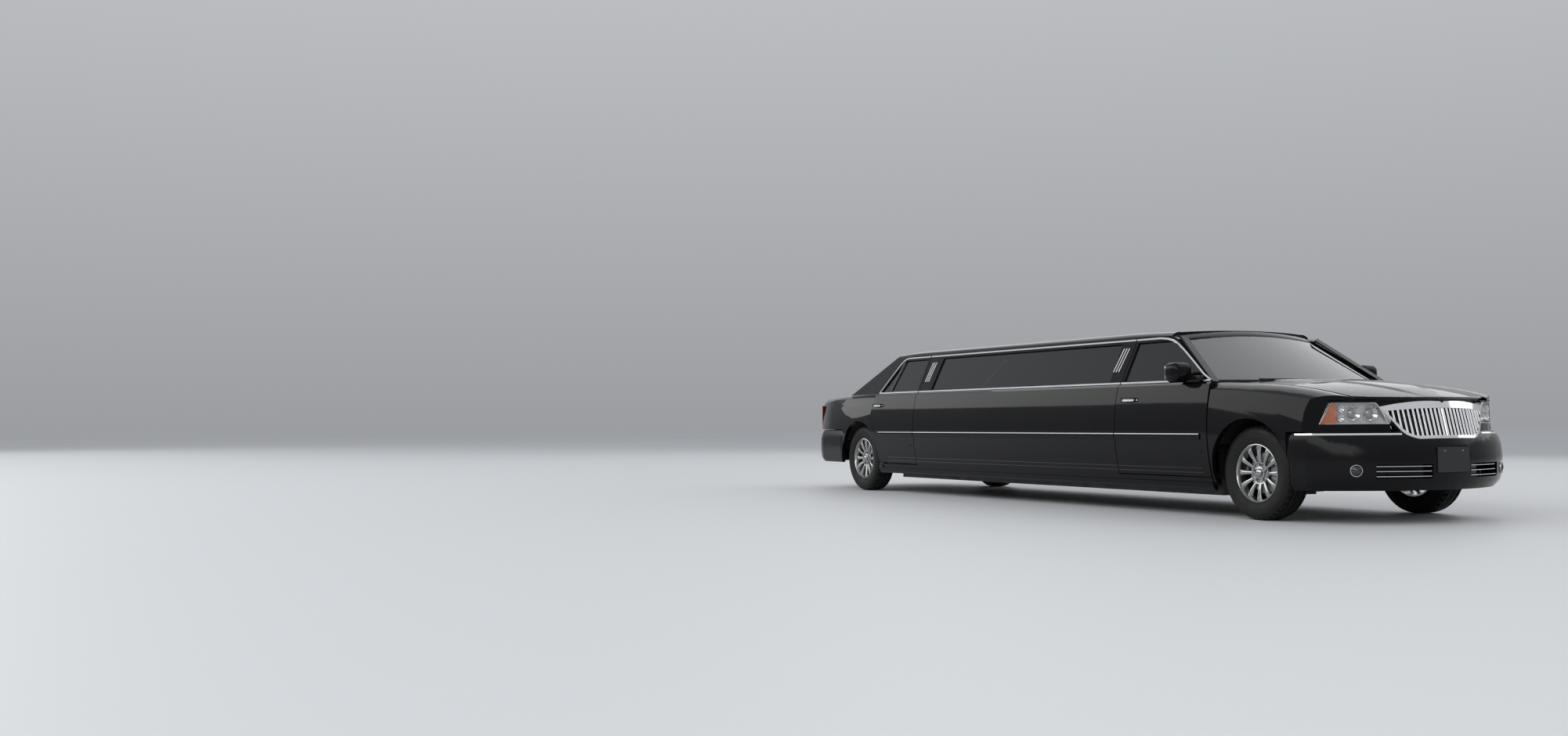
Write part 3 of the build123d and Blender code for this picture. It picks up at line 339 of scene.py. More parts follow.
def uneven_group():
    """Soft clouds that vary a colour, a value and a height."""
    tree, into, out = make_group(
        "Uneven finish",
        [
            ("Scale", "NodeSocketFloat", 20.0),
            ("Low", "NodeSocketFloat", 0.1),
            ("High", "NodeSocketFloat", 0.2),
            ("Dark", "NodeSocketColor", (0, 0, 0, 1)),
            ("Light", "NodeSocketColor", (0.1, 0.1, 0.1, 1)),
        ],
        [("Value", "NodeSocketFloat"), ("Colour", "NodeSocketColor"), ("Height", "NodeSocketFloat")],
    )
    place = tree.nodes.new("ShaderNodeTexCoord")
    noise = tree.nodes.new("ShaderNodeTexNoise")
    noise.inputs["Detail"].default_value = 5.0
    remap = tree.nodes.new("ShaderNodeMapRange")
    remap.inputs["From Min"].default_value = 0.3
    remap.inputs["From Max"].default_value = 0.7
    mix = tree.nodes.new("ShaderNodeMix")
    mix.data_type = "RGBA"
    link = tree.links.new
    link(place.outputs["Object"], noise.inputs["Vector"])
    link(into.outputs["Scale"], noise.inputs["Scale"])
    link(noise.outputs["Fac"], remap.inputs["Value"])
    link(into.outputs["Low"], remap.inputs["To Min"])
    link(into.outputs["High"], remap.inputs["To Max"])
    link(noise.outputs["Fac"], mix.inputs["Factor"])
    link(into.outputs["Dark"], mix.inputs["A"])
    link(into.outputs["Light"], mix.inputs["B"])
    link(remap.outputs["Result"], out.inputs["Value"])
    link(mix.outputs["Result"], out.inputs["Colour"])
    link(noise.outputs["Fac"], out.inputs["Height"])


def pebble_group():
    """Pebbled grain of leather and moulded plastic."""
    tree, into, out = make_group(
        "Pebble grain", [("Scale", "NodeSocketFloat", 400.0)], [("Height", "NodeSocketFloat")]
    )
    place = tree.nodes.new("ShaderNodeTexCoord")
    cells = tree.nodes.new("ShaderNodeTexVoronoi")
    cells.feature = "SMOOTH_F1"
    tree.links.new(place.outputs["Object"], cells.inputs["Vector"])
    tree.links.new(into.outputs["Scale"], cells.inputs["Scale"])
    tree.links.new(cells.outputs["Distance"], out.inputs["Height"])


def add_group(tree, name, values):
    """Group node with its inputs set."""
    group = tree.nodes.new("ShaderNodeGroup")
    group.node_tree = bpy.data.node_groups[name]
    for socket, value in values.items():
        group.inputs[socket].default_value = value
    return group


def make_finish(name, values, scale, rough, dark, light, grain=None, bump=0.0):
    """Material whose colour and roughness vary softly, with grain where asked."""
    finish = bpy.data.materials.new(name)
    finish.use_nodes = True
    tree = finish.node_tree
    shader = tree.nodes["Principled BSDF"]
    for socket, value in values.items():
        shader.inputs[socket].default_value = value
    low, high = rough
    height = uneven = add_group(
        tree, "Uneven finish", {"Scale": scale, "Low": low, "High": high, "Dark": dark, "Light": light}
    )
    tree.links.new(uneven.outputs["Colour"], shader.inputs["Base Color"])
    tree.links.new(uneven.outputs["Value"], shader.inputs["Roughness"])
    if bump:
        lift = tree.nodes.new("ShaderNodeBump")
        lift.inputs["Strength"].default_value = bump
        lift.inputs["Distance"].default_value = 0.001
        if grain:
            height = add_group(tree, "Pebble grain", {"Scale": grain})
        tree.links.new(height.outputs["Height"], lift.inputs["Height"])
        tree.links.new(lift.outputs["Normal"], shader.inputs["Normal"])
    return finish


def shade(colour, factor):
    """Colour made lighter or darker."""
    return tuple(min(1.0, c * factor) for c in colour[:3]) + (1.0,)


def both(*nodes):
    """Left and right node of each name."""
    return tuple(f"{node}_{name}" for node in nodes for name, _ in SIDES)


GLOSS = {"Specular IOR Level": 0.17}
METAL = {"Metallic": 1.0}
CLEAR = {"Transmission Weight": 0.92, "IOR": 1.5}
LENS = {"Coat Weight": 1.0, "Transmission Weight": 0.35, "IOR": 1.45}
FINISHES = (
    # name, fixed values, cloud scale, roughness, dark and light colour, then grain scale and bump;
    # a colour is a grey level, or the name of a property and a factor
    ("gloss black paint", GLOSS, 3, (0.045, 0.07), ("paint", 1.0), ("paint", 1.4)),
    ("bumper paint", GLOSS, 3, (0.13, 0.17), ("paint", 1.0), ("paint", 1.4)),
    ("moulded black", {}, 30, (0.38, 0.5), 0.008, 0.014, 900, 0.15),
    ("tyre rubber", {"Specular IOR Level": 0.25}, 14, (0.5, 0.68), 0.004, 0.008, 700, 0.25),
    ("bright chrome", METAL, 6, (0.04, 0.09), ("chrome", 1.0), ("chrome", 1.12)),
    ("dark core", {}, 40, (0.4, 0.6), 0.003, 0.006),
    ("chassis black", {}, 9, (0.45, 0.7), 0.012, 0.03, None, 0.2),
    ("cast metal", {"Metallic": 0.9}, 60, (0.38, 0.55), 0.2, 0.32, None, 0.35),
    ("brushed steel", METAL, 40, (0.25, 0.42), 0.32, 0.48, None, 0.1),
    ("dark carpet", {"Sheen Weight": 0.3}, 260, (0.85, 0.98), 0.008, 0.024, None, 0.8),
    (
        "dark leather", {"Specular IOR Level": 0.4}, 12, (0.36, 0.5), ("leather", 1.0), ("leather", 1.7),
        520, 0.35,
    ),
    ("tinted glass", CLEAR, 2, (0.0, 0.012), ("side_glass", 0.85), ("side_glass", 1.0)),
    ("screen glass", CLEAR, 2, (0.0, 0.012), ("screen_glass", 0.9), ("screen_glass", 1.0)),
    ("clear lens", {"Alpha": 0.16, "Specular IOR Level": 0.8}, 8, (0.02, 0.04), 0.1, 0.14),
    ("red lens", LENS, 90, (0.05, 0.16), ("red", 0.7), ("red", 1.4), 260, 0.3),
    ("amber lens", LENS, 60, (0.06, 0.2), ("amber", 0.8), ("amber", 1.15), 240, 0.3),
    ("dark chrome", METAL, 8, (0.08, 0.16), 0.3, 0.42),
    ("lamp silver", {"Metallic": 0.2}, 30, (0.2, 0.3), 0.78, 0.9),
    ("wheel silver", METAL, 12, (0.16, 0.24), 0.34, 0.42),
    ("dark lens", {"Specular IOR Level": 0.6}, 10, (0.03, 0.08), 0.02, 0.04),
    ("projector glass", {"Coat Weight": 1.0, "Metallic": 0.6}, 10, (0.03, 0.08), 0.35, 0.55),
    ("mirror silver", METAL, 5, (0.01, 0.03), 0.8, 0.9),
)
NODE_FINISH = {
    "gloss black paint": both("front_door", "rear_door", "stretch_side", "front_fender", "rear_quarter", "mirror")
    + ("rockers", "hood", "front_bumper", "roof", "windshield_pillars", "trunk_lid", "rear_bumper"),
    "tinted glass": both("front_door_glass", "rear_door_glass") + ("stretch_windows", "rear_window"),
    "screen glass": ("windshield",),
    "bright chrome": both("rim_front", "rim_rear") + ("grille",),
    "tyre rubber": both("tyre_front", "tyre_rear"),
    "clear lens": ("headlamps",),
    "red lens": ("tail_lamps",),
    "moulded black": (
        "cowl", "wipers", "dashboard", "steering_wheel", "plate_bracket", "wheel_liners", "rear_deck",
    ),
    "chassis black": ("frame_rails", "frame_cross_members", "front_arms", "rear_axle", "fuel_tank"),
    "cast metal": both("knuckle") + ("engine",),
    "brushed steel": ("driveshaft", "exhaust"),
    "dark carpet": ("floor_pan", "trunk_floor"),
    "dark leather": ("front_seats", "partition", "lounge_seats"),
}


class LIMO_OT_finishes(bpy.types.Operator):
    """Makes every finish and puts it on the CAD nodes"""

    bl_idname = "limo.finishes"
    bl_label = "Finishes"

    def execute(self, context):
        colours = context.scene.limo_finishes

        def tint(colour):
            if isinstance(colour, float):
                return (colour, colour, colour, 1.0)
            name, factor = colour
            return shade(getattr(colours, name), factor)

        uneven_group()
        pebble_group()
        for name, values, scale, rough, dark, light, *relief in FINISHES:
            make_finish(name, values, scale, rough, tint(dark), tint(light), *relief)
        for finish, nodes in NODE_FINISH.items():
            for node in nodes:
                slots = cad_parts[node].data.materials
                slots.clear()
                slots.append(bpy.data.materials[finish])
        return {"FINISHED"}


# Trim on the sides

BELT_Z = 1.0585
RAIL_Z = 1.423
STRIP_FOOT = BELT_Z - 0.004
FRAME_SPAN = (1.060, 1.415)  # heights between which the lean of the window frames is read
STRIP_RUNS = {
    # belt strip and the strip round the top of the glass, as (x, z) points
    "front_door": (
        [(FRONT - 0.452, BELT_Z), (FRONT - 1.546, BELT_Z)],
        [
            (FRONT - 0.449, STRIP_FOOT), (FRONT - 0.56, 1.108), (FRONT - 0.68, 1.183), (FRONT - 0.8, 1.256),
            (FRONT - 0.9, 1.315), (FRONT - 0.99, 1.364), (FRONT - 1.07, 1.397), (FRONT - 1.15, 1.415),
            (FRONT - 1.24, RAIL_Z), (FRONT - 1.536, RAIL_Z),
        ],
    ),
    "body": (
        [(FRONT - 1.558, BELT_Z), (REAR + 1.198, BELT_Z)],
        [(FRONT - 1.548, RAIL_Z), (REAR + 1.188, RAIL_Z)],
    ),
    "rear_door": (
        [(REAR + 1.186, BELT_Z), (REAR + 0.374, BELT_Z)],
        [
            (REAR + 1.174, RAIL_Z), (REAR + 0.74, RAIL_Z), (REAR + 0.69, 1.419), (REAR + 0.645, 1.403),
            (REAR + 0.6, 1.36), (REAR + 0.5, 1.23), (REAR + 0.375, STRIP_FOOT),
        ],
    ),
}
DIVIDER = [(REAR + 0.59, 1.07), (REAR + 0.668, 1.4)]
PILLARS = ((FRONT - 1.656, 0.036), (REAR + 1.291, 0.018))  # x of the middle bar, lean
PILLAR_Z = 1.157


class LIMO_OT_window_trim(bpy.types.Operator):
    """Chrome strips round the side windows, their dividers and the bars on the pillars"""

    bl_idname = "limo.window_trim"
    bl_label = "Window trim"

    def execute(self, context):
        trim = context.scene.limo_trim
        widths = (trim.belt_width, trim.rail_width)
        for name, side in SIDES:
            tree = skin(f"stretch_side_{name}")
            (low, _), (high, out) = [from_side(tree, side, (FRONT + REAR) / 2, z) for z in FRAME_SPAN]
            slope = (high.y - low.y) / (high.z - low.z)

            def run(path, width, height):
                points = [Vector((x, low.y + slope * (z - low.z), z)) for x, z in path]
                return points, [out] * len(points), rounded(width, height)

            for part, paths in STRIP_RUNS.items():
                body = part if part == "body" else f"{part}_{name}"
                runs = [run(path, width, trim.proud) for path, width in zip(paths, widths)]
                strips(f"window_strips_{body}_{name}", runs, "bright chrome", body)
            runs = [run(DIVIDER, 0.026, 0.003)]
            strips(f"window_divider_{name}", runs, "moulded black", f"rear_door_{name}")
            runs = []
            for x, lean in PILLARS:
                for i in (-1, 0, 1):
                    shift = x + i * trim.bar_pitch
                    path = [(shift - lean / 2, PILLAR_Z), (shift + lean / 2, PILLAR_Z + trim.bar_length)]
                    runs.append(run(path, trim.bar_pitch * 0.36, 0.005))
            strips(f"pillar_bars_{name}", runs, "dark chrome")
        return {"FINISHED"}


MOULDINGS = (
    # node, front end, rear end
    ("front_door", FRONT - 0.510, FRONT - 1.547),
    ("stretch_side", FRONT - 1.557, REAR + 1.197),
    ("rear_door", REAR + 1.187, REAR + 0.474),
)
CREASES = (0.372, 0.338)
CREASE_END = REAR + 0.62


class LIMO_OT_side_mouldings(bpy.types.Operator):
    """Rub strips along the doors and the stretch, each with a bright line, and the creases below"""

    bl_idname = "limo.side_mouldings"
    bl_label = "Side mouldings"

    def execute(self, context):
        trim = context.scene.limo_trim
        middle_z = trim.moulding_z - trim.moulding_width / 2
        line_z = trim.moulding_z - 0.006
        for name, side in SIDES:
            for part, start, end in MOULDINGS:
                node = f"{part}_{name}"
                body = "body" if part == "stretch_side" else node
                tree = skin(node)

                def run(last, z, width, height):
                    hits = [from_side(tree, side, x, z) for x in evenly(start, last, 8)]
                    return *zip(*hits), rounded(width, height)

                runs = [run(end, middle_z, trim.moulding_width, 0.010)]
                strips(f"moulding_{node}", runs, "gloss black paint", body)
                strips(f"moulding_line_{node}", [run(end, line_z, 0.011, 0.0125)], "bright chrome", body)
                runs = [run(max(end, CREASE_END), z, 0.012, 0.003) for z in CREASES]
                strips(f"crease_{node}", runs, "gloss black paint", body, 20)
        return {"FINISHED"}


HANDLES = (("front_door", FRONT - 1.376, 0.918), ("rear_door", REAR + 0.432, 0.926))
HANDLE_LENGTH = 0.22
HANDLE_OUT = 0.9925
HANDLE_BOW = 0.02
GRIP = [(-0.019, -0.026), (0.019, -0.026), (0.019, 0), (0.012, 0.006), (-0.012, 0.006), (-0.019, 0)]
GRIP_TOP = [(-0.004, -0.004), (0.0125, -0.004), (0.0125, 0.0075), (-0.004, 0.0085)]


class LIMO_OT_door_handles(bpy.types.Operator):
    """Bowed pull handles with a bright upper face"""

    bl_idname = "limo.door_handles"
    bl_label = "Door handles"

    def execute(self, context):
        spots = evenly(-0.5, 0.5, 8)
        widths = [max(0.3, 1 - (1.7 * abs(s)) ** 4) for s in spots]
        for name, side in SIDES:
            outs = [Vector((0, side, 0))] * len(spots)
            top = [(-side * a, b) for a, b in GRIP_TOP]
            for door, x, z in HANDLES:
                body = f"{door}_{name}"
                bows = [HANDLE_OUT - HANDLE_BOW * (2 * s) ** 2 for s in spots]
                path = [Vector((x + HANDLE_LENGTH * s, side * bow, z)) for s, bow in zip(spots, bows)]
                strips(f"handle_{body}", [(path, outs, GRIP, widths)], "gloss black paint", body, 60)
                strips(f"handle_bright_{body}", [(path, outs, top, widths)], "bright chrome", body, 60)
        return {"FINISHED"}


# Wheels, with lines as (radius, outboard) points

TREAD_BLOCKS = 80
TYRE_LINE = [
    (0.2185, 0.096), (0.2290, 0.1035), (0.2400, 0.1045), (0.2480, 0.1085), (0.2800, 0.1120), (0.3000, 0.1118),
    (0.3030, 0.1100), (0.3060, 0.1112), (0.3240, 0.1060), (0.3380, 0.0960), (0.3460, 0.0840), (0.3495, 0.0700),
    (0.3500, 0.0560), (0.3420, 0.0545), (0.3420, 0.0475), (0.3506, 0.0460), (0.3508, 0.0180), (0.3425, 0.0165),
    (0.3425, 0.0095), (0.3509, 0.0080),
]
SHOULDER_RADIUS = 0.339
SHOULDER = (0.057, 0.092)
HUB_LINE = [
    (0.0, 0.0700), (0.0300, 0.0690), (0.0480, 0.0640), (0.0510, 0.0560), (0.0720, 0.0560), (0.0760, 0.0640),
    (0.0840, 0.0660), (0.0880, 0.0600), (0.0880, 0.0300), (0.0790, 0.0300), (0.0790, 0.0500), (0.0, 0.0500),
]
BARREL_LINE = [
    (0.2170, -0.0975), (0.2060, -0.0975), (0.2030, -0.0600), (0.1900, -0.0200), (0.1930, 0.0500),
    (0.2020, 0.0720), (0.2050, 0.0900), (0.2120, 0.0978), (0.2172, 0.0960),
]
DISC_LINE = [(0.0905, -0.010), (0.150, -0.010), (0.150, 0.012), (0.0905, 0.012)]
CAP_LINE = [(0.0, 0.0915), (0.012, 0.0910), (0.024, 0.0875), (0.031, 0.0800), (0.032, 0.0680)]
SPOKE_COUNT = 12
SPOKE_ROWS = (
    # radius, outboard, half width
    (0.070, 0.056, 0.0135), (0.100, 0.066, 0.0140), (0.150, 0.075, 0.0175), (0.190, 0.078, 0.0225),
    (0.206, 0.074, 0.0265),
)
SPOKE_SECTION = [
    (-1, -0.018), (1, -0.018), (1, -0.008), (0.72, 0), (0.25, 0.003), (-0.25, 0.003), (-0.72, 0), (-1, -0.008),
]
LUG_COUNT = 5
LUG_RING = 0.0615
LUG_OUT = 0.066


def turned(bm, line, hub, side, steps, closed=False):
    """Spins a line about the wheel's axle."""
    lathe(bm, [(r, a * side) for r, a in line], hub, (0, 1, 0), steps, closed)


def around(count):
    """Directions round the axle, from straight up."""
    turns = [math.tau * i / count for i in range(count)]
    return [Vector((math.sin(turn), 0, math.cos(turn))) for turn in turns]


def wheel_tyre(bm, hub, side):
    """Tyre with three grooves and cut shoulder blocks."""
    turned(bm, TYRE_LINE + [(r, -a) for r, a in reversed(TYRE_LINE)], hub, side, TREAD_BLOCKS, closed=True)
    bmesh.ops.recalc_face_normals(bm, faces=bm.faces)
    cuts = []
    for face in bm.faces:
        spot = face.calc_center_median() - hub
        turn = int((math.atan2(spot.z, spot.x) / math.tau + 1) * TREAD_BLOCKS + 0.5)
        shoulder = math.hypot(spot.x, spot.z) > SHOULDER_RADIUS and SHOULDER[0] < abs(spot.y) < SHOULDER[1]
        if shoulder and turn % 2:
            cuts.append(face)
    bmesh.ops.inset_individual(bm, faces=cuts, thickness=0.0032, depth=-0.0055)


def wheel_spokes(bm, hub, side):
    """Spokes that widen towards the lip."""
    out = Vector((0, side, 0))
    widths = [width for _, _, width in SPOKE_ROWS]
    for reach in around(SPOKE_COUNT):
        points = [hub + reach * r + out * a for r, a, _ in SPOKE_ROWS]
        sweep(bm, points, [out] * len(points), SPOKE_SECTION, widths)


class LIMO_OT_wheels(bpy.types.Operator):
    """Treaded tyres, twelve-spoke rims, lug nuts, caps and brake discs"""

    bl_idname = "limo.wheels"
    bl_label = "Wheels"

    def execute(self, context):
        for axle in AXLES:
            for name, side in SIDES:
                hub = middle(f"tyre_{axle}_{name}")
                body = f"wheel_{axle}_{name}"
                bm = bmesh.new()
                wheel_tyre(bm, hub, side)
                tyre = new_piece(f"tread_{axle}_{name}", bm, "tyre rubber", body, 30)
                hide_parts(f"tyre_{axle}_{name}")
                bm = bmesh.new()
                turned(bm, BARREL_LINE, hub, side, 72, closed=True)
                wheel_spokes(bm, hub, side)
                turned(bm, HUB_LINE, hub, side, 48)
                rim = new_piece(f"spokes_{axle}_{name}", bm, "wheel silver", body, 35)
                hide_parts(f"rim_{axle}_{name}")
                bm = bmesh.new()
                turned(bm, CAP_LINE, hub, side, 40)
                for reach in around(LUG_COUNT):
                    spot = hub + reach * LUG_RING + Vector((0, side * LUG_OUT, 0))
                    place = Matrix.Translation(spot) @ Matrix.Rotation(-side * math.pi / 2, 4, "X")
                    stud(bm, place, 6, 0.0105, 0.0085, 0.022)
                new_piece(f"cap_and_lugs_{axle}_{name}", bm, "dark chrome", body, 35)
                bm = bmesh.new()
                turned(bm, DISC_LINE, hub, 1, 64, closed=True)
                new_piece(f"brake_disc_{axle}_{name}", bm, "brushed steel", body, 35)
        return {"FINISHED"}


# Lamps

LAMP_SPOTS = (
    # distance from the middle, height above the middle of the lamp, radius
    (0.668, 0.0, 0.048), (0.560, 0.0, 0.050),
)
MARKER_SPOTS = ((0.742, 0.034, 0.024), (0.745, -0.032, 0.024))
AMBER_EDGE = 0.776
BOWL_DEPTH = 0.014
PROJECTOR_DEPTH = 0.030
AMBER_DEPTH = 0.005
REFLECTOR_DEPTH = 0.044
COVER_AHEAD, COVER_SLOPE = 0.35, 0.75  # least part ahead and most part upward of a cover's normals


def lamp_ahead(side):
    """Direction in which a headlamp's cover looks."""
    return Vector((0.86, 0.51 * side, 0))


def lamp_faces(side, cover):
    """One headlamp's cover, or all of its other faces."""
    ahead = lamp_ahead(side)
    bm = node_mesh("headlamps")
    drop = []
    for face in bm.faces:
        outer = face.normal.dot(ahead) > COVER_AHEAD and abs(face.normal.z) < COVER_SLOPE
        if face.calc_center_median().y * side < 0 or outer != cover:
            drop.append(face)
    bmesh.ops.delete(bm, geom=drop, context="FACES")
    return bm


def bowl(bm, centre, facing, radius, depth):
    """Open reflector bowl with a rolled rim."""
    line = [
        (0.0, -depth), (radius * 0.45, -depth * 0.86), (radius * 0.8, -depth * 0.45), (radius, 0.0),
        (radius * 1.06, 0.002), (radius * 1.06, -0.006),
    ]
    lathe(bm, line, centre, facing, 40)


def dome(bm, centre, facing, radius):
    """Lens of a projector."""
    line = [(0.0, 0.5), (0.5, 0.42), (0.85, 0.2), (1.0, 0.0), (1.0, -0.4)]
    lathe(bm, [(radius * r, radius * a) for r, a in line], centre, facing, 32)


class LIMO_OT_headlamps(bpy.types.Operator):
    """Clear covers, bright buckets, two projectors and two small bowls a side, and amber corners"""

    bl_idname = "limo.headlamps"
    bl_label = "Headlamps"

    def execute(self, context):
        mid = middle("headlamps").z
        for name, side in SIDES:
            bm = lamp_faces(side, True)
            tree = BVHTree.FromBMesh(bm)
            cover = new_piece(f"lamp_cover_{name}", bm, "clear lens")
            wall = cover.modifiers.new("wall", "SOLIDIFY")
            wall.thickness = 0.003
            wall.offset = -1
            if side > 0:
                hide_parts("headlamps")
            new_piece(f"lamp_bucket_{name}", lamp_faces(side, False), "lamp silver", angle=30)

            def behind(y, lift, depth):
                return from_front(tree, side * y, mid + lift)[0] - Vector((depth, 0, 0))

            facing = Vector((0.96, 0.28 * side, 0))
            bm = bmesh.new()
            for y, lift, size in LAMP_SPOTS + MARKER_SPOTS:
                bowl(bm, behind(y, lift, BOWL_DEPTH), facing, size, size * 0.66)
            new_piece(f"lamp_bowls_{name}", bm, "bright chrome")
            bm = bmesh.new()
            for y, lift, size in LAMP_SPOTS:
                dome(bm, behind(y, lift, PROJECTOR_DEPTH), facing, size * 0.62)
            new_piece(f"lamp_projectors_{name}", bm, "projector glass")
            bm = lamp_faces(side, True)
            bmesh.ops.bisect_plane(
                bm, geom=bm.verts[:] + bm.edges[:] + bm.faces[:], plane_co=(0, side * AMBER_EDGE, 0),
                plane_no=(0, -side, 0), clear_outer=True,
            )
            bmesh.ops.translate(bm, vec=lamp_ahead(side) * -AMBER_DEPTH, verts=bm.verts)
            new_piece(f"lamp_amber_{name}", bm, "amber lens")
            bm = lamp_faces(side, True)
            bmesh.ops.translate(bm, vec=lamp_ahead(side) * -REFLECTOR_DEPTH, verts=bm.verts)
            new_piece(f"lamp_reflector_{name}", bm, "lamp silver")
        return {"FINISHED"}


NOSE_CURVE = (
    # distance from the middle, distance ahead of the front axle
    (0.945, 0.528), (0.93, 0.544), (0.90, 0.572), (0.85, 0.614), (0.80, 0.653), (0.70, 0.720), (0.55, 0.798),
    (0.45, 0.841), (0.40, 0.861),
)
LAMP_EDGES = (
    # first and last distance from the middle, lower and upper height of the panels below and above the lamp
    (0.938, 0.44, 0.655, 0.7105), (0.866, 0.50, 0.8655, 0.879),
)
LAMP_END = (
    # height, lamp edge, fender edge
    (0.706, 0.874, 0.938), (0.75, 0.853, 0.936), (0.80, 0.830, 0.916), (0.85, 0.812, 0.892), (0.872, 0.803, 0.868),
)
LAMP_LOW, LAMP_TOP = 0.714, 0.862
LAMP_RIM = (
    # distance from the middle, height
    [(0.869, LAMP_LOW), (0.853, 0.75), (0.83, 0.80), (0.812, 0.85), (0.807, LAMP_TOP)]
    + [(y, LAMP_TOP) for y in evenly(0.78, 0.545, 8)]
    + [(0.525, 0.85), (0.49, 0.79), (0.455, LAMP_LOW)]
    + [(y, LAMP_LOW) for y in evenly(0.48, 0.84, 10)]
)


def nose_point(y, z, side, back=0.0):
    """Point on the curve that fenders and headlamps share in plan."""
    for (y0, x0), (y1, x1) in zip(NOSE_CURVE, NOSE_CURVE[1:]):
        if y1 <= y <= y0:
            x = x0 + (x1 - x0) * (y0 - y) / (y0 - y1)
            return Vector((FRONT + x - back, side * y, z))
    raise ValueError(f"no nose at {y}")


class LIMO_OT_lamp_surrounds(bpy.types.Operator):
    """Painted panel round the headlamps and the bright rim of their covers"""

    bl_idname = "limo.lamp_surrounds"
    bl_label = "Lamp surrounds"

    def execute(self, context):
        for name, side in SIDES:
            bm = bmesh.new()
            for first, last, low, high in LAMP_EDGES:
                corners = ((low, 0.002), (high, 0.002), (high, 0.022), (low, 0.022))
                places = evenly(first, last, 18)
                loft(bm, [[nose_point(y, z, side, back) for z, back in corners] for y in places])
            rows = []
            for z, lamp, fender in LAMP_END:
                across = (lamp, (lamp + fender) / 2, fender)
                row = [nose_point(y, z, side, 0.002) for y in across]
                rows.append(row + [nose_point(y, z, side, 0.016) for y in reversed(across)])
            loft(bm, rows)
            new_piece(f"lamp_surround_{name}", bm, "gloss black paint", angle=30)
            points = [nose_point(y, z, side) for y, z in LAMP_RIM]
            outs = [Vector((0.8, 0.6 * side, 0))] * len(points)
            strips(f"lamp_rim_{name}", [(points, outs, rounded(0.006, 0.004))], "bright chrome")
        return {"FINISHED"}


LID_STRIP_Z = 0.80


class LIMO_OT_tail_lamps(bpy.types.Operator):
    """Bright rims on the tail lamps and a bright strip across the trunk lid"""

    bl_idname = "limo.tail_lamps"
    bl_label = "Tail lamps"

    def execute(self, context):
        low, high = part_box("tail_lamps")
        tree = skin("tail_lamps")
        for name, side in SIDES:
            runs = []
            for z in (low.z + 0.008, (low.z + high.z) / 2, high.z - 0.008):
                hits = [from_rear(tree, "tail_lamps", side * y, z) for y in (0.69, 0.71, 0.73, 0.75, 0.77)]
                runs.append((*zip(*hits), rounded(0.008, 0.004)))
            strips(f"tail_lamp_rims_{name}", runs, "bright chrome")
        tree = skin("trunk_lid")
        hits = [from_rear(tree, "trunk_lid", y / 10, LID_STRIP_Z) for y in range(-5, 6)]
        strips("lid_strip", [(*zip(*hits), rounded(0.026, 0.009))], "bright chrome", "trunk_lid")
        return {"FINISHED"}


# Nose

GRILLE_PIVOT = Vector((FRONT + 0.975, 0, 0.606))
GRILLE_BOW = 1.388  # radius in plan
UPRIGHT = Matrix.Rotation(math.radians(14), 3, "Y")  # takes the grille's lean away
FORWARD = UPRIGHT.transposed() @ Vector((1, 0, 0))
BACKING = (-0.056, -0.044)  # depths from the bowed front
BAR_FRONTS = (-0.016, -0.006)
BAR_WIDTH = 0.0185


def grille_faces(bm, span):
    """Faces of the grille that look forward between two depths."""
    found = []
    for face in bm.faces:
        spot = UPRIGHT @ (face.calc_center_median() - GRILLE_PIVOT)
        bow = GRILLE_BOW - math.sqrt(GRILLE_BOW**2 - spot.y**2)
        if (UPRIGHT @ face.normal).x > 0.5 and span[0] < spot.x + bow < span[1]:
            found.append(face)
    return found


class LIMO_OT_grille(bpy.types.Operator):
    """Dark sheet behind the upright bars and crowned bright faces on them"""

    bl_idname = "limo.grille"
    bl_label = "Grille backing"

    def execute(self, context):
        bm = node_mesh("grille")
        keep = set(grille_faces(bm, BACKING))
        bmesh.ops.delete(bm, geom=[face for face in bm.faces if face not in keep], context="FACES")
        bmesh.ops.translate(bm, vec=FORWARD * 0.0015, verts=bm.verts)
        new_piece("grille_backing", bm, "dark core")
        self.bars()
        return {"FINISHED"}

    def bars(self):
        """Crowned chrome faces on the upright bars."""
        source = node_mesh("grille")
        fronts = dict.fromkeys(grille_faces(source, BAR_FRONTS))
        if not fronts:
            raise ValueError("no grille bars found")
        bm = bmesh.new()
        while fronts:
            island, queue = [], [next(iter(fronts))]
            while queue:
                face = queue.pop()
                if face in fronts:
                    del fronts[face]
                    island.append(face)
                    queue += [near for edge in face.edges for near in edge.link_faces if near in fronts]
            spots = [UPRIGHT @ (v.co - GRILLE_PIVOT) for face in island for v in face.verts]
            y = sum(spot.y for spot in spots) / len(spots)
            ends = (min(spots, key=lambda c: c.z), max(spots, key=lambda c: c.z))
            line = [Vector((end.x + 0.0005, y, end.z)) for end in ends]
            points = [GRILLE_PIVOT + UPRIGHT.transposed() @ spot for spot in line]
            sweep(bm, points, [FORWARD, FORWARD], rounded(BAR_WIDTH, 0.006))
        source.free()
        new_piece("grille_bar_faces", bm, "bright chrome")


BUMPER_STRIP_Z = 0.640
INTAKE_EDGE_Z = 0.44
INTAKE_BARS = (0.342, 0.378, 0.413)
FOG_LAMP = (0.73, 0.385)
FOG_RING = [(0.036, -0.004), (0.046, -0.004), (0.046, 0.006), (0.043, 0.010), (0.037, 0.010)]


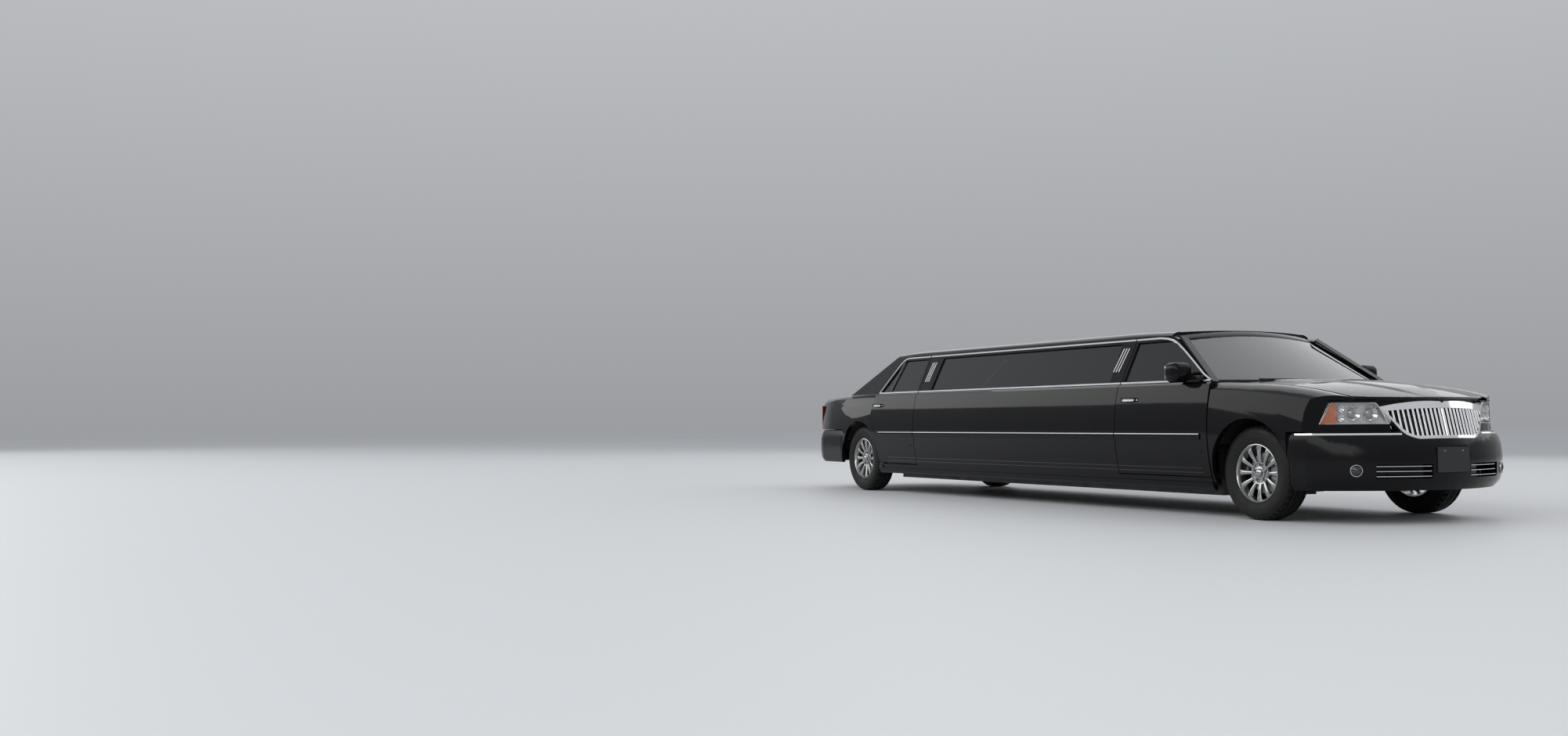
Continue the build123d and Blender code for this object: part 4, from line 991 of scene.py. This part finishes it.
class LIMO_OT_bumper_trim(bpy.types.Operator):
    """Bright strip over the bumper, intake bars, fog lamps and plate screws"""

    bl_idname = "limo.bumper_trim"
    bl_label = "Bumper trim"

    def execute(self, context):
        tree = skin("front_bumper")
        for name, side in SIDES:
            hits = [from_side(tree, side, FRONT + x, BUMPER_STRIP_Z) for x in (0.45, 0.53, 0.58)]
            across = (0.86, 0.80, 0.72, 0.63, 0.54, 0.46, 0.40)
            hits += [from_front(tree, side * y, BUMPER_STRIP_Z) for y in across]
            strips(f"bumper_strip_{name}", [(*zip(*hits), rounded(0.017, 0.006))], "bright chrome")
            across = (0.196, 0.27, 0.34, 0.41, 0.48, 0.55, 0.600)
            edges = [from_front(tree, side * y, INTAKE_EDGE_Z)[0] for y in across]
            outs = [Vector((1, 0, 0))] * len(edges)
            runs = []
            for z in INTAKE_BARS:
                path = [Vector((edge.x - 0.022, edge.y, z)) for edge in edges]
                runs.append((path, outs, rounded(0.007, 0.012, 0.004)))
            strips(f"intake_bars_{name}", runs, "bright chrome")
            y, z = FOG_LAMP
            spot, normal = from_front(tree, side * y, z)
            bm = bmesh.new()
            lathe(bm, FOG_RING, spot, normal, 40, closed=True)
            new_piece(f"fog_ring_{name}", bm, "dark chrome")
            bm = bmesh.new()
            dome(bm, spot + normal * 0.001, normal, 0.037)
            new_piece(f"fog_lens_{name}", bm, "dark lens")
        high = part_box("plate_bracket")[1]
        bm = bmesh.new()
        for y in (-0.089, 0.089):
            place = Matrix.Translation((high.x, y, high.z - 0.026)) @ Matrix.Rotation(math.pi / 2, 4, "Y")
            stud(bm, place, 16, 0.007, 0.006, 0.006)
        new_piece("plate_screws", bm, "brushed steel")
        return {"FINISHED"}


# Panels

PANELS = (
    # node, body, finish, edge radius, radius of the upright edges at the tail
    ("trunk_lid", "trunk_lid", "gloss black paint", 0.008, 0.0),
    ("front_bumper", "body", "bumper paint", 0.008, 0.0),
    ("rear_bumper", "body", "bumper paint", 0.012, 0.0),
    ("front_fender_left", "body", "gloss black paint", 0.004, 0.0),
    ("front_fender_right", "body", "gloss black paint", 0.004, 0.0),
    ("rear_quarter_left", "body", "gloss black paint", 0.006, 0.055),
    ("rear_quarter_right", "body", "gloss black paint", 0.006, 0.055),
)
FLAT = math.radians(2)
HARD = math.radians(28)
TAIL_ZONE, TAIL_OUTER = 0.12, 0.78  # the upright edges at the tail lie within these
TAIL_START, TAIL_LENGTH = REAR - 0.72, 0.47
TAIL_HEIGHTS, TAIL_SIDES = (0.70, 1.04), (0.72, 0.94)  # where the drawn-in tail is cut finer
TAIL_IN, TAIL_DOWN = 0.075, 0.022
HOOD_CELL = 0.035
HOOD_RISE = 0.010
HOOD_REAR, HOOD_NOSE = 0.44, 0.10  # half width of the raised middle at either end
HOOD_SLOPE = 0.045


def hard_edges(bm):
    """Edges where two faces meet at an angle."""
    return [e for e in bm.edges if len(e.link_faces) == 2 and e.calc_face_angle() > HARD]


def softened(node, width, tail):
    """Copy of a node's mesh with its hard edges rounded off, those at the tail by more."""
    bm = node_mesh(node)
    bmesh.ops.dissolve_limit(bm, angle_limit=FLAT, verts=bm.verts, edges=bm.edges)
    if tail:
        limit = min(v.co.x for v in bm.verts) + TAIL_ZONE
        ends = [
            e for e in hard_edges(bm)
            if max(v.co.x for v in e.verts) < limit and max(abs(v.co.y) for v in e.verts) > TAIL_OUTER
        ]
        round_off(bm, ends, tail, 5, clamp=True)
    round_off(bm, hard_edges(bm), width, 2, clamp=True)
    return bm


def tapered(bm):
    """Draws the tail of a rear quarter in and down towards its end."""
    side = math.copysign(1, sum(v.co.y for v in bm.verts))
    cuts = [((x, 0, 0), (1, 0, 0)) for x in evenly(TAIL_START, TAIL_START - TAIL_LENGTH, 20)]
    cuts += [((0, 0, z), (0, 0, 1)) for z in evenly(*TAIL_HEIGHTS, 14)]
    cuts += [((0, side * y, 0), (0, 1, 0)) for y in evenly(*TAIL_SIDES, 8)]
    for spot, way in cuts:
        faces = [f for f in bm.faces if min(v.co.x for v in f.verts) < TAIL_START - 1e-4]
        parts = dict.fromkeys(part for f in faces for part in (f, *f.edges, *f.verts))
        bmesh.ops.bisect_plane(bm, geom=list(parts), plane_co=spot, plane_no=way, dist=MERGE)
    for vert in bm.verts:
        part = limited((TAIL_START - vert.co.x) / TAIL_LENGTH) ** 2
        outer = limited((abs(vert.co.y) - TAIL_SIDES[0]) / 0.2)
        upper = limited((vert.co.z - 0.75) / 0.3)
        vert.co.y -= math.copysign(TAIL_IN * part * outer, vert.co.y)
        vert.co.z -= TAIL_DOWN * part * upper * outer


def raised_hood():
    """Copy of the hood with a raised middle that narrows towards the grille."""
    bm = node_mesh("hood")
    for _ in range(5):
        long = [e for e in bm.edges if e.calc_length() > HOOD_CELL]
        bmesh.ops.subdivide_edges(bm, edges=long, cuts=1)
        bmesh.ops.triangulate(bm, faces=bm.faces)
    low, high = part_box("hood")
    bm.normal_update()
    for vert in bm.verts:
        along = (vert.co.x - low.x) / (high.x - low.x)
        edge = HOOD_REAR + (HOOD_NOSE - HOOD_REAR) * along
        inside = limited((edge - abs(vert.co.y)) / HOOD_SLOPE + 0.5)
        step = inside * inside * (3 - 2 * inside)
        fade = min(1, along / 0.15, (1 - along) / 0.2) if 0 < along < 1 else 0
        if vert.normal.z > 0.4:
            vert.co.z += HOOD_RISE * step * fade
    return bm


class LIMO_OT_panels(bpy.types.Operator):
    """Painted panels with rolled edges, drawn-in rear quarters and the raised middle of the hood"""

    bl_idname = "limo.panels"
    bl_label = "Panels"

    def execute(self, context):
        for node, body, finish, width, tail in PANELS:
            bm = softened(node, width, tail)
            if tail:
                tapered(bm)
            piece = new_piece(f"{node}_skin", bm, finish, body, 30)
            even = piece.modifiers.new("even", "WEIGHTED_NORMAL")
            even.keep_sharp = True
            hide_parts(node)
        hood = new_piece("hood_skin", raised_hood(), "gloss black paint", "hood", 35)
        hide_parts("hood")
        return {"FINISHED"}


SKIRT = ((0.945, 0.262), (0.936, 0.228), (0.918, 0.207), (0.895, 0.207), (0.895, 0.262))
SKIRT_ENDS = (REAR + 0.394, FRONT - 0.424)
SILL_BOXES = (
    # piece, finish, lower and upper corner from below the rear axle
    ("sill_end", "gloss black paint", (0.392, 0.80, 0.251), (0.488, 0.944, 0.303)),
    ("footwell_wall", "chassis black", (0.392, 0.80, 0.262), (0.73, 0.84, 0.36)),
    ("footwell_end", "chassis black", (0.70, 0.68, 0.262), (0.725, 0.845, 0.545)),
    ("trunk_wall", "moulded black", (-1.09, 0.691, 0.545), (0.09, 0.703, 1.0)),
)


class LIMO_OT_sills(bpy.types.Operator):
    """Skirts under the sills, sill ends ahead of the rear wheels, and walls of the rear footwell and trunk"""

    bl_idname = "limo.sills"
    bl_label = "Sill ends"

    def execute(self, context):
        for name, side in SIDES:
            bm = bmesh.new()
            loft(bm, [[Vector((x, side * y, z)) for y, z in SKIRT] for x in SKIRT_ENDS])
            new_piece(f"sill_skirt_{name}", bm, "gloss black paint", angle=20)
            for kind, finish, low, high in SILL_BOXES:
                x, y, z = (Vector(low) + Vector(high)) / 2
                bm = bmesh.new()
                eased_box(bm, Vector((REAR + x, side * y, z)), Vector(high) - Vector(low), 0.005, 2)
                new_piece(f"{kind}_{name}", bm, finish)
        return {"FINISHED"}


RETURNS = (("front_bumper", FRONT, 1, 0.275), ("rear_bumper", REAR, -1, 0.335))
RETURN_TOP = 0.64
ARCH_EDGE = 0.414


class LIMO_OT_bumper_returns(bpy.types.Operator):
    """Sides of the bumpers that follow the wheel arches"""

    bl_idname = "limo.bumper_returns"
    bl_label = "Bumper returns"

    def execute(self, context):
        for node, hub, way, low in RETURNS:
            tree = skin(node)
            far = hub + way * 0.43
            for name, side in SIDES:
                rows = []
                for z in evenly(low, RETURN_TOP, 14):
                    edge, _ = from_side(tree, side, hub + way * 0.445, z)
                    near = hub + way * math.sqrt(ARCH_EDGE**2 - (z - HUB_Z) ** 2)
                    outer, inner = edge.y - side * 0.002, edge.y - side * 0.030
                    corners = ((near, outer), (far, outer), (far, inner), (near, inner))
                    rows.append([Vector((x, y, z)) for x, y in corners])
                bm = bmesh.new()
                loft(bm, rows)
                new_piece(f"{node}_return_{name}", bm, "bumper paint", angle=35)
        return {"FINISHED"}


MIRROR_HEAD = (0.148, 0.194, 0.158)
MIRROR_FOOT = (0.2, 0.09, 0.056)
MIRROR_GLASS = (0.006, 0.140, 0.104)


class LIMO_OT_mirrors(bpy.types.Operator):
    """Rounded door mirrors with their feet and silvered glass"""

    bl_idname = "limo.mirrors"
    bl_label = "Mirrors"

    def execute(self, context):
        for name, side in SIDES:
            low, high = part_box(f"mirror_{name}")
            outer = max(abs(low.y), abs(high.y))
            head = Vector((low.x + 0.075, side * (outer - 0.098), high.z - 0.076))
            foot = Vector((low.x + 0.178, side * (outer - 0.185), high.z - 0.132))
            bm = bmesh.new()
            eased_box(bm, head, MIRROR_HEAD, 0.052, 6)
            eased_box(bm, foot, MIRROR_FOOT, 0.022, 4)
            door = f"front_door_{name}"
            shell = new_piece(f"mirror_shell_{name}", bm, "gloss black paint", door, 50)
            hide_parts(f"mirror_{name}")
            bm = bmesh.new()
            eased_box(bm, head - Vector((0.0735, 0, 0)), MIRROR_GLASS, 0.0025, 2)
            new_piece(f"mirror_glass_{name}", bm, "mirror silver", door)
        return {"FINISHED"}


HEADER = ((0.004, 0.0), (0.004, 0.004), (0.022, 0.005), (0.042, 0.003), (0.044, 0.0))  # below the edge, proud
HEADER_REACH = 0.66


class LIMO_OT_screen_header(bpy.types.Operator):
    """Painted lip of the roof over the top edge of the windshield"""

    bl_idname = "limo.screen_header"
    bl_label = "Screen header"

    def execute(self, context):
        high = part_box("windshield")[1]
        tree = skin("windshield")
        back = Vector((-1, 0, 0))
        rows = []
        for y in evenly(-HEADER_REACH, HEADER_REACH, 22):
            top = high.z
            while tree.ray_cast(Vector((high.x + 1, y, top)), back)[0] is None:
                top -= 0.002
            row = []
            for drop, lift in HEADER:
                point, normal = touch(tree, (high.x + 1, y, top - drop), back)
                row.append(point + normal * lift)
            rows.append(row)
        bm = bmesh.new()
        loft(bm, rows)
        new_piece("screen_header", bm, "gloss black paint")
        return {"FINISHED"}


# Seats

CHAIR_X = FRONT - 1.05
CHAIR_Y = (0.11, 0.64)
CHAIR_LEAN = math.radians(-6)
BENCH_Y = 0.685
SIDE_BENCH = (REAR + 1.505, FRONT - 2.105)


def cushion(name, low, high, crown, channels, along=1):
    """Padded block: rounded, crowned and sewn in channels along one axis."""
    low, high = Vector(low), Vector(high)
    size = high - low
    centre = [(a + b) / 2 for a, b in zip(low, high)]
    bm = bmesh.new()
    bmesh.ops.create_cube(bm, size=1.0)
    for vert in bm.verts:
        vert.co = [centre[i] + vert.co[i] * (high[i] - low[i]) for i in range(3)]
    bmesh.ops.subdivide_edges(bm, edges=bm.edges, cuts=max(7, channels * 4 - 1), use_grid_fill=True)
    for vert in bm.verts:
        part = [(vert.co[i] - low[i]) / size[i] * 2 - 1 for i in range(3)]
        pull = 1 - 0.06 * sum(abs(p) ** 6 for p in part) / 3
        groove = abs(math.sin(math.pi * channels * (part[along] + 1) / 2)) ** 0.35
        for i in range(3):
            soft = math.prod(1 - abs(part[j]) ** 3 for j in range(3) if j != i)
            swell = 1 - crown + crown * soft * (0.55 + 0.45 * groove)
            vert.co[i] = centre[i] + part[i] * size[i] / 2 * pull * (swell if abs(part[i]) > 0.98 else 1)
    piece = new_piece(name, bm, "dark leather", angle=180)
    soft = piece.modifiers.new("soft", "SUBSURF")
    soft.levels = soft.render_levels = 1
    return piece


class LIMO_OT_seats(bpy.types.Operator):
    """Padded front chairs, rear bench and side bench"""

    bl_idname = "limo.seats"
    bl_label = "Seats"

    def execute(self, context):
        floor_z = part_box("floor_pan")[1].z
        x = CHAIR_X
        hinge = Vector((x - 0.46, 0, 0.58))
        lean = Matrix.Translation(hinge) @ Matrix.Rotation(CHAIR_LEAN, 4, "Y") @ Matrix.Translation(-hinge)
        for name, side in SIDES:
            y0, y1 = sorted(side * y for y in CHAIR_Y)
            base = cushion(f"chair_base_{name}", (x - 0.48, y0, floor_z + 0.01), (x, y1, 0.585), 0.06, 5)
            back = cushion(f"chair_back_{name}", (x - 0.54, y0, 0.575), (x - 0.40, y1, 1.142), 0.08, 5)
            if side > 0:
                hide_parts("front_seats")
            back.data.transform(lean)
        foot = floor_z + 0.003
        for part, x0, z0, x1, z1, crown in (
            ("base", REAR + 0.36, 0.563, REAR + 0.855, 0.715, 0.07),
            ("back", REAR + 0.215, 0.66, REAR + 0.345, 1.165, 0.08),
            ("apron", REAR + 0.73, foot, REAR + 0.855, 0.56, 0.03),
        ):
            cushion(f"rear_bench_{part}", (x0, -BENCH_Y, z0), (x1, BENCH_Y, z1), crown, 9)
        x0, x1 = SIDE_BENCH
        cushion("side_bench_base", (x0, 0.405, foot), (x1, 0.735, 0.645), 0.05, 12, 0)
        cushion("side_bench_back", (x0, 0.742, 0.55), (x1, 0.845, 0.995), 0.06, 12, 0)
        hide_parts("lounge_seats")
        return {"FINISHED"}


class LIMO_OT_stage(bpy.types.Operator):
    """Floor, backdrop, lamps and camera"""

    bl_idname = "limo.stage"
    bl_label = "Stage"

    def execute(self, context):
        scene = context.scene
        stage = scene.limo_stage
        scene.view_settings.view_transform = "Standard"
        bm = bmesh.new()
        bmesh.ops.create_grid(bm, x_segments=1, y_segments=1, size=90)
        mesh = bpy.data.meshes.new("floor")
        bm.to_mesh(mesh)
        bm.free()
        floor = bpy.data.objects.new("floor", mesh)
        scene.collection.objects.link(floor)
        colour = tuple(stage.floor)
        finish = make_finish(
            "pale floor", {"Specular IOR Level": 0.2}, 0.2, (0.5, 0.52), colour, shade(colour, 1.01)
        )
        mesh.materials.append(finish)

        world = bpy.data.worlds.new("studio")
        world.use_nodes = True
        tree = world.node_tree
        way = tree.nodes.new("ShaderNodeTexCoord")
        split = tree.nodes.new("ShaderNodeSeparateXYZ")
        ramp = tree.nodes.new("ShaderNodeValToRGB")
        ramp.color_ramp.elements[0].color = tuple(stage.horizon)
        ramp.color_ramp.elements[1].color = tuple(stage.sky)
        ramp.color_ramp.elements[1].position = 0.35
        tree.links.new(way.outputs["Generated"], split.inputs["Vector"])
        tree.links.new(split.outputs["Z"], ramp.inputs["Fac"])
        tree.links.new(ramp.outputs["Color"], tree.nodes["Background"].inputs["Color"])
        scene.world = world

        for name, power, size, place, aim in (
            ("key_lamp", stage.key, (90, 9), (5, -13, 9.0), (5, 0, 0.6)),
            ("far_lamp", stage.far, (40, 16), (-2, 12, 11), (2, 0, 1)),
        ):
            light = bpy.data.lights.new(name, "AREA")
            light.shape = "RECTANGLE"
            light.size, light.size_y = size
            light.energy = power
            lamp = bpy.data.objects.new(name, light)
            lamp.location = place
            lamp.rotation_euler = (Vector(aim) - Vector(place)).to_track_quat("-Z", "Y").to_euler()
            lamp.visible_camera = False
            scene.collection.objects.link(lamp)

        camera = bpy.data.objects.new("camera", bpy.data.cameras.new("camera"))
        camera.data.sensor_width = 36
        camera.data.lens = stage.lens
        camera.data.clip_end = 300
        turn = (
            Matrix.Rotation(stage.yaw, 4, "Z")
            @ Matrix.Rotation(math.pi / 2 + stage.pitch, 4, "X")
            @ Matrix.Rotation(stage.roll, 4, "Z")
        )
        camera.matrix_world = Matrix.Translation(Vector(stage.eye)) @ turn
        scene.collection.objects.link(camera)
        scene.camera = camera
        return {"FINISHED"}


class LIMO_PT_panel(bpy.types.Panel):
    """Lists the steps that dress the car"""

    bl_idname = "LIMO_PT_panel"
    bl_label = "Limousine"
    bl_space_type = "VIEW_3D"
    bl_region_type = "UI"
    bl_category = "Limousine"

    def draw(self, context):
        for step in STEPS:
            self.layout.operator(step.bl_idname)


STEPS = (
    LIMO_OT_finishes,
    LIMO_OT_window_trim,
    LIMO_OT_side_mouldings,
    LIMO_OT_door_handles,
    LIMO_OT_wheels,
    LIMO_OT_headlamps,
    LIMO_OT_lamp_surrounds,
    LIMO_OT_tail_lamps,
    LIMO_OT_grille,
    LIMO_OT_bumper_trim,
    LIMO_OT_panels,
    LIMO_OT_sills,
    LIMO_OT_bumper_returns,
    LIMO_OT_mirrors,
    LIMO_OT_screen_header,
    LIMO_OT_seats,
    LIMO_OT_stage,
)
GROUPS = (("limo_finishes", LimoFinishes), ("limo_trim", LimoTrim), ("limo_stage", LimoStage))


def register():
    for _, group in GROUPS:
        bpy.utils.register_class(group)
    for step in STEPS:
        bpy.utils.register_class(step)
    bpy.utils.register_class(LIMO_PT_panel)
    for name, group in GROUPS:
        setattr(bpy.types.Scene, name, PointerProperty(type=group))


def unregister():
    for name, _ in GROUPS:
        delattr(bpy.types.Scene, name)
    bpy.utils.unregister_class(LIMO_PT_panel)
    for step in reversed(STEPS):
        bpy.utils.unregister_class(step)
    for _, group in GROUPS:
        bpy.utils.unregister_class(group)


def main():
    register()
    for step in STEPS:
        family, name = step.bl_idname.split(".")
        getattr(getattr(bpy.ops, family), name)()


if __name__ == "__main__":
    main()
